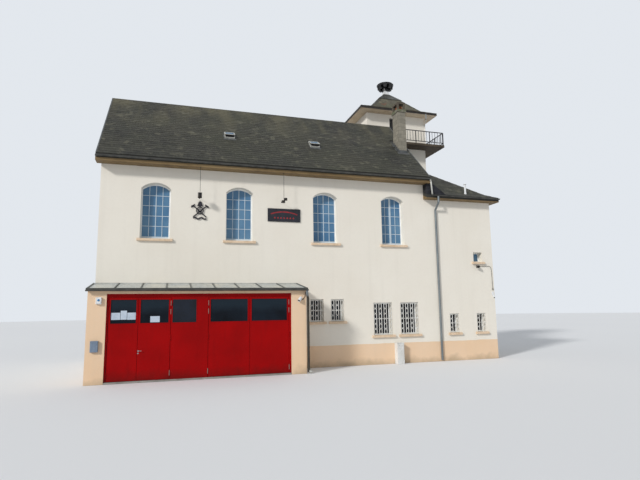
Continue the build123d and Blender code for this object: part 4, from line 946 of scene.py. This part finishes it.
def window_grille(name, opening, at_end, along):
    """A grille over an opening; at_end gives a point at the opening's end at a level."""
    width, low, high, chains = opening
    height, half = high - low, grille_bar / 2
    side = 0.02 + grille_bar + chain_width / 2
    rings = round((height - 0.1) / 0.22)
    ring_high = (height - 0.08) / rings
    parts = []
    for column in range(chains):
        middle = side + (width - 2 * side) / (chains - 1) * column
        for x in (middle - (chain_width + grille_bar) / 2, middle + (chain_width + grille_bar) / 2):
            parts.append(block((x - half, 0.005, grille_out - half), (x + half, height - 0.005, grille_out + half),
                               0.003))
        ring = primitive(bpy.ops.mesh.primitive_torus_add, (chain_width, ring_high, 2 * grille_ring / 0.12),
                         major_segments=14, minor_segments=4, major_radius=0.5, minor_radius=0.06, location=(0, 0, 0))
        ring.data.transform(Matrix.Translation((middle, 0.04 + ring_high / 2, grille_out)))
        repeat(ring, rings, (0.0, ring_high, 0.0))
        bpy.ops.object.shade_smooth()
        parts.append(ring)
    for z in (0.03, height / 2, height - 0.03):
        parts.append(block((0.0, z - half, grille_out - 0.004 - half), (width, z + half, grille_out - 0.004 + half),
                           0.003))
    finished(name, [laid(part, at_end(low), along, upward) for part in parts], grille_finish)


small, large, slit = (0.62, 2.24, 3.215, 3), (0.93, 1.58, 3.04, 4), (0.50, 1.59, 2.48, 2)
for number, (left, opening) in enumerate(((8.69, small), (9.65, small), (11.70, large), (13.05, large),
                                          (15.65, slit), (17.15, slit))):
    window_grille("front_grille_%d" % number, opening, lambda z: at(left, 0.0, z), rightward)
for number, left in enumerate((1.67, 5.11, 9.0)):
    window_grille("rear_grille_%d" % number, large, lambda z: at(left + large[0], block_depth, z), -rightward)
for number, front in enumerate((1.62, 4.98)):
    window_grille("gable_grille_%d" % number, large, lambda z: at(0.0, front + large[0], z), -backward)
for number, front in enumerate((1.65, 5.15)):
    window_grille("side_grille_%d" % number, slit, lambda z: at(wing_end, front, z), backward)


# Lamps: two floodlights hang before the upper wall, each on an arm from the wall and a rod from the
# soffit. The left one is a single cast box and the right one has two small heads.
lamp_level, lamp_out, soffit = 7.52, 0.44, 8.74
lamp_finish = two_tone("lamp_black", (30, 28, 28), (62, 58, 54), (12.0, 6.0, 0.4, 0.7), (60.0, 4.0, 0.001, 0.4),
                       Roughness=0.45, Metallic=0.2)
lens_finish = two_tone("lamp_lens", (122, 126, 122), (158, 158, 150), (20.0, 3.0, 0.35, 0.7), Roughness=0.15)


def lamp_head(centre, width, height, depth):
    """A tapered cast housing with cooling fins, and a rim for the lens towards the wall."""
    half = Vector((width, depth, height)) / 2
    housing = block(centre - half, centre + half, 0.012)
    for point in housing.data.vertices:
        if point.co.y < centre.y:
            point.co.x = centre.x + (point.co.x - centre.x) * 0.72
            point.co.z = centre.z + (point.co.z - centre.z) * 0.72
    fins = [block(centre + Vector((width * step - 0.003, -depth / 2 - 0.014, -height * 0.3)),
                  centre + Vector((width * step + 0.003, -depth / 4, height * 0.3)), 0.001)
            for step in (-0.24, -0.12, 0.0, 0.12, 0.24)]
    rim = frame_of(centre + Vector((-half.x - 0.004, half.y - 0.012, -half.z - 0.004)),
                   centre + half + Vector((0.004, 0.01, 0.004)), 0.018, 0.002)
    return [housing, rim] + fins


for number, (x, heads) in enumerate(((3.87, ((0.0, 0.03, 0.16, 0.23, 0.15),)),
                                     (7.43, ((0.085, 0.05, 0.14, 0.11, 0.12), (-0.01, -0.06, 0.14, 0.11, 0.12))))):
    hung = [tube(at(x, 0.0, lamp_level), at(x, -lamp_out, lamp_level), 0.008),
            tube(at(x, -lamp_out, lamp_level), at(x, -lamp_out, soffit), 0.008),
            tube(at(x, -0.008, lamp_level), at(x, 0.0, lamp_level), 0.035, 16),
            tube(at(x, -lamp_out, soffit - 0.012), at(x, -lamp_out, soffit), 0.03, 16)]
    lenses = []
    for across, up, width, height, depth in heads:
        hung += lamp_head(at(x + across, -lamp_out - 0.008, lamp_level + up), width, height, depth)
        front, half_wide, half_high = depth / 2 - lamp_out, width * 0.4, height * 0.4
        lenses.append(box(x + across - half_wide, front - 0.006, lamp_level + up - half_high,
                          x + across + half_wide, front - 0.001, lamp_level + up + half_high, 0.002))
    finished("facade_lamp_%d" % number, hung, lamp_finish, replaces="wall_fittings")
    finished("lamp_lens_%d" % number, lenses, lens_finish)


# Boxes on the walls: an alarm sounder with a blue lamp, a letter box, and a meter cabinet that
# stands at the wall's foot, all of sheet metal or plastic.
box_white = two_tone("box_white", (226, 228, 230), (188, 188, 184), (8.0, 6.0, 0.45, 0.75), (80.0, 3.0, 0.001, 0.3),
                     Roughness=0.45)
alarm = [box(0.279, -1.790, 3.07, 0.473, -1.700, 3.32, 0.02), box(0.305, -1.797, 3.09, 0.447, -1.788, 3.145)]
alarm += [box(0.312, -1.802, z, 0.440, -1.796, z + 0.005, 0.001) for z in (3.098, 3.112, 3.126)]
finished("alarm_box", alarm, box_white, replaces="wall_fittings")
blue_lens = two_tone("blue_lens", (36, 104, 160), (70, 140, 186), (25.0, 3.0, 0.35, 0.7), Roughness=0.2)
lens_centre = at(0.376, -1.789, 3.215)
dome = primitive(bpy.ops.mesh.primitive_uv_sphere_add, (1.0, 0.7, 1.0), segments=20, ring_count=10, radius=0.042,
                 location=lens_centre)
cut((lens_centre, backward))
bpy.ops.object.shade_smooth_by_angle(angle=math.radians(40))
finished("alarm_lamp", dome, blue_lens)

letter_grey = two_tone("letter_box_grey", (122, 138, 158), (104, 116, 132), (10.0, 6.0, 0.4, 0.75),
                       (60.0, 4.0, 0.001, 0.4), Roughness=0.4, Metallic=0.25)
letter = [box(0.168, -1.795, 1.406, 0.426, -1.700, 1.795, 0.008), box(0.182, -1.803, 1.715, 0.412, -1.794, 1.775),
          box(0.180, -1.799, 1.425, 0.414, -1.794, 1.700, 0.003),
          tube(at(0.297, -1.799, 1.675), at(0.297, -1.806, 1.675), 0.009)]
finished("letter_box", letter, letter_grey, replaces="wall_fittings")

cabinet_grey = material("cabinet_grey", Roughness=0.55)
paint = clouded(cabinet_grey, (222, 223, 222), (194, 194, 188), 4.0, 7.0, 0.35, 0.7, 1.0, (1.0, 1.0, 3.0))
coat(cabinet_grey, clouded(cabinet_grey, paint, (112, 104, 92), 14.0, 8.0, 0.6, 0.72, 0.55))
bump(cabinet_grey, noise(cabinet_grey, 50.0, 5.0), 0.002, 0.4)
cabinet = [box(12.68, -0.300, ground, 13.02, 0.0, 1.19, 0.008),
           box(12.69, -0.306, ground, 13.01, -0.295, 0.42, 0.003),
           box(12.70, -0.309, 0.45, 13.00, -0.299, 1.15, 0.005), box(12.672, -0.312, 1.185, 13.028, 0.0, 1.22, 0.006),
           tube(at(12.97, -0.309, 0.84), at(12.97, -0.318, 0.84), 0.014)]
cabinet += [box(12.76, -0.312, z, 12.94, -0.308, z + 0.008, 0.001) for z in (1.05, 1.07, 1.09, 1.11)]
finished("meter_cabinet", cabinet, cabinet_grey, replaces="wall_fittings")


# Small fittings: two white cameras, a small lamp under the high window with a conduit from it, and
# a white vent pipe with a hat on the wing's roof.
for name, foot, aim, girth in (("pier_camera", at(7.80, -1.70, 3.24), Vector((-0.58, -0.45, -0.68)), 0.062),
                               ("wing_camera", at(18.17, 0.0, 3.30), Vector((-0.45, -0.75, -0.48)), 0.034)):
    aim.normalize()
    neck = foot - backward * 0.05
    nose = neck + aim * 0.15
    housing = [tube(foot, foot - backward * 0.025, 0.045, 20), tube(foot - backward * 0.02, neck, 0.014),
               tube(neck - aim * 0.03, nose, girth, 16, 0.01), hoop(nose, aim, girth - 0.004, 0.03, 0.006)]
    finished(name, housing, box_white)
    finished(name + "_lens", tube(nose - aim * 0.002, nose + aim * 0.008, girth * 0.78, 16), lamp_finish)
finished("wing_camera_plate", box(18.08, -0.016, 3.34, 18.2, 0.0, 3.52, 0.006), box_white)

conduit_grey = two_tone("conduit_grey", (120, 118, 110), (150, 146, 136), (4.0, 5.0, 0.35, 0.7),
                        (40.0, 4.0, 0.001, 0.3), Roughness=0.6)
conduit = bar_run([at(x, -0.02, z) for x, z in ((17.40, 4.76), (17.98, 4.79), (18.10, 4.74), (18.13, 4.60),
                                                (18.15, 3.68))], 0.011)
conduit += [box(x - 0.008, -0.034, z - 0.02, x + 0.008, 0.0, z + 0.02, 0.002)
            for x, z in ((17.65, 4.773), (18.135, 4.4), (18.142, 3.95))]
conduit.append(box(18.115, -0.035, 3.60, 18.185, 0.0, 3.69, 0.005))
finished("wing_conduit", conduit, conduit_grey)
small_lamp = lamp_head(at(17.29, -0.17, 4.745), 0.16, 0.12, 0.10)
small_lamp.append(tube(at(17.29, -0.13, 4.75), at(17.33, 0.0, 4.75), 0.012))
finished("wing_lamp", small_lamp, lamp_finish)
finished("pier_conduit", bar_run([at(x, -1.712, z) for x, z in ((7.80, 3.22), (7.90, 3.17), (7.98, 3.30),
                                                                (8.02, 3.50))], 0.010), lamp_finish)
finished("roof_vent", [tube(at(16.97, 0.10, low), at(16.97, 0.10, high), radius, 20, edge)
                       for low, high, radius, edge in ((8.36, 8.92, 0.045, 0.0), (8.93, 8.98, 0.075, 0.015),
                                                       (8.36, 8.52, 0.062, 0.0))], box_white)


# Signs: a flat wrought-iron device of a bell over two rings, with two crossed hooks and a plain
# ribbon, and a black board with a plain red arched line and a row of diamonds. Both are made up.
device_finish = two_tone("device_iron", (26, 26, 34), (56, 54, 60), (15.0, 5.0, 0.35, 0.7), (80.0, 4.0, 0.001, 0.5),
                         Roughness=0.5, Metallic=0.3)


def on_wall(x, z, out=0.0):
    """A point from the device's middle, in its plane before the wall."""
    return at(3.90 + x, -0.035 - out, 6.97 + z)


def flat_bar(start, end, width, thickness=0.014):
    """A flat iron bar between two points on the wall."""
    run = end - start
    bar = block((0.0, -width / 2, -thickness / 2), (run.length, width / 2, thickness / 2), 0.003)
    return laid(bar, start, run.normalized(), -backward.cross(run.normalized()))


bell_outline = ((0.0, 0.385), (0.045, 0.375), (0.072, 0.335), (0.085, 0.265), (0.11, 0.215), (0.125, 0.185),
                (0.0, 0.185))
outline = list(bell_outline) + [(-x, z) for x, z in bell_outline[-2:0:-1]]
bell = bpy.data.objects.new("bell", bpy.data.meshes.new("bell"))
bpy.context.collection.objects.link(bell)
bell.data.from_pydata([tuple(on_wall(x, z, 0.012)) for x, z in outline], [], [tuple(range(len(outline)))])
bpy.ops.object.select_all(action="DESELECT")
bell.select_set(True)
device = [hoop(on_wall(0.0, 0.0), backward, radius, 0.014, width)
          for radius, width in ((0.125, 0.034), (0.055, 0.026))]
device += [shaped(bell, "SOLIDIFY", thickness=0.024, offset=0.0),
           tube(on_wall(0.0, 0.165, -0.012), on_wall(0.0, 0.165, 0.03), 0.028, 16),
           hoop(on_wall(0.0, 0.405), backward, 0.016, 0.014, 0.012)]
for turn in (-1, 1):
    device += [flat_bar(on_wall(turn * x0, z0), on_wall(turn * x1, z1), width)
               for x0, z0, x1, z1, width in ((-0.27, -0.28, 0.27, 0.20, 0.045), (0.26, 0.20, 0.345, 0.165, 0.075),
                                             (0.27, 0.20, 0.215, 0.26, 0.055), (0.335, 0.18, 0.345, 0.115, 0.045))]
ribbon = [on_wall(0.27 * (i / 6 - 1), -0.33 + 0.035 * math.sin(i * 1.05), 0.004) for i in range(13)]
device += [flat_bar(first, second, 0.065, 0.01) for first, second in zip(ribbon, ribbon[1:])]
device += [tube(on_wall(x, z, -0.035), on_wall(x, z), 0.012) for x, z in ((0.0, 0.28), (-0.1, -0.09), (0.1, -0.09))]
finished("bell_device", device, device_finish)

board_finish = two_tone("sign_board", (16, 18, 28), (36, 38, 48), (5.0, 6.0, 0.4, 0.75), (30.0, 4.0, 0.001, 0.3),
                        Roughness=0.45)
board_left, board_right, board_low, board_high = 6.80, 8.26, 6.64, 7.21
finished("sign_board", [box(board_left, -0.03, board_low, board_right, -0.002, board_high),
                        frame_of(at(board_left - 0.006, -0.04, board_low - 0.006),
                                 at(board_right + 0.006, -0.01, board_high + 0.006), 0.028, 0.004)],
         board_finish)
mark_finish = two_tone("sign_red", (150, 40, 44), (120, 34, 38), (9.0, 5.0, 0.35, 0.7), Roughness=0.5)
middle_x = (board_left + board_right) / 2
arch = [at(middle_x + x, -0.032, 7.075 - 0.11 * (x / 0.6) ** 2) for x in (-0.6 + 0.1 * i for i in range(13))]
marks = [flat_bar(first, second, 0.055, 0.006) for first, second in zip(arch, arch[1:])]
marks += [laid(block((-0.034, -0.034, -0.003), (0.034, 0.034, 0.003), 0.001),
               at(middle_x - 0.42 + 0.14 * step, -0.032, 6.80), Vector((0.8, 0.0, 0.6)), Vector((-0.6, 0.0, 0.8)))
          for step in range(7)]
finished("sign_marks", marks, mark_finish)
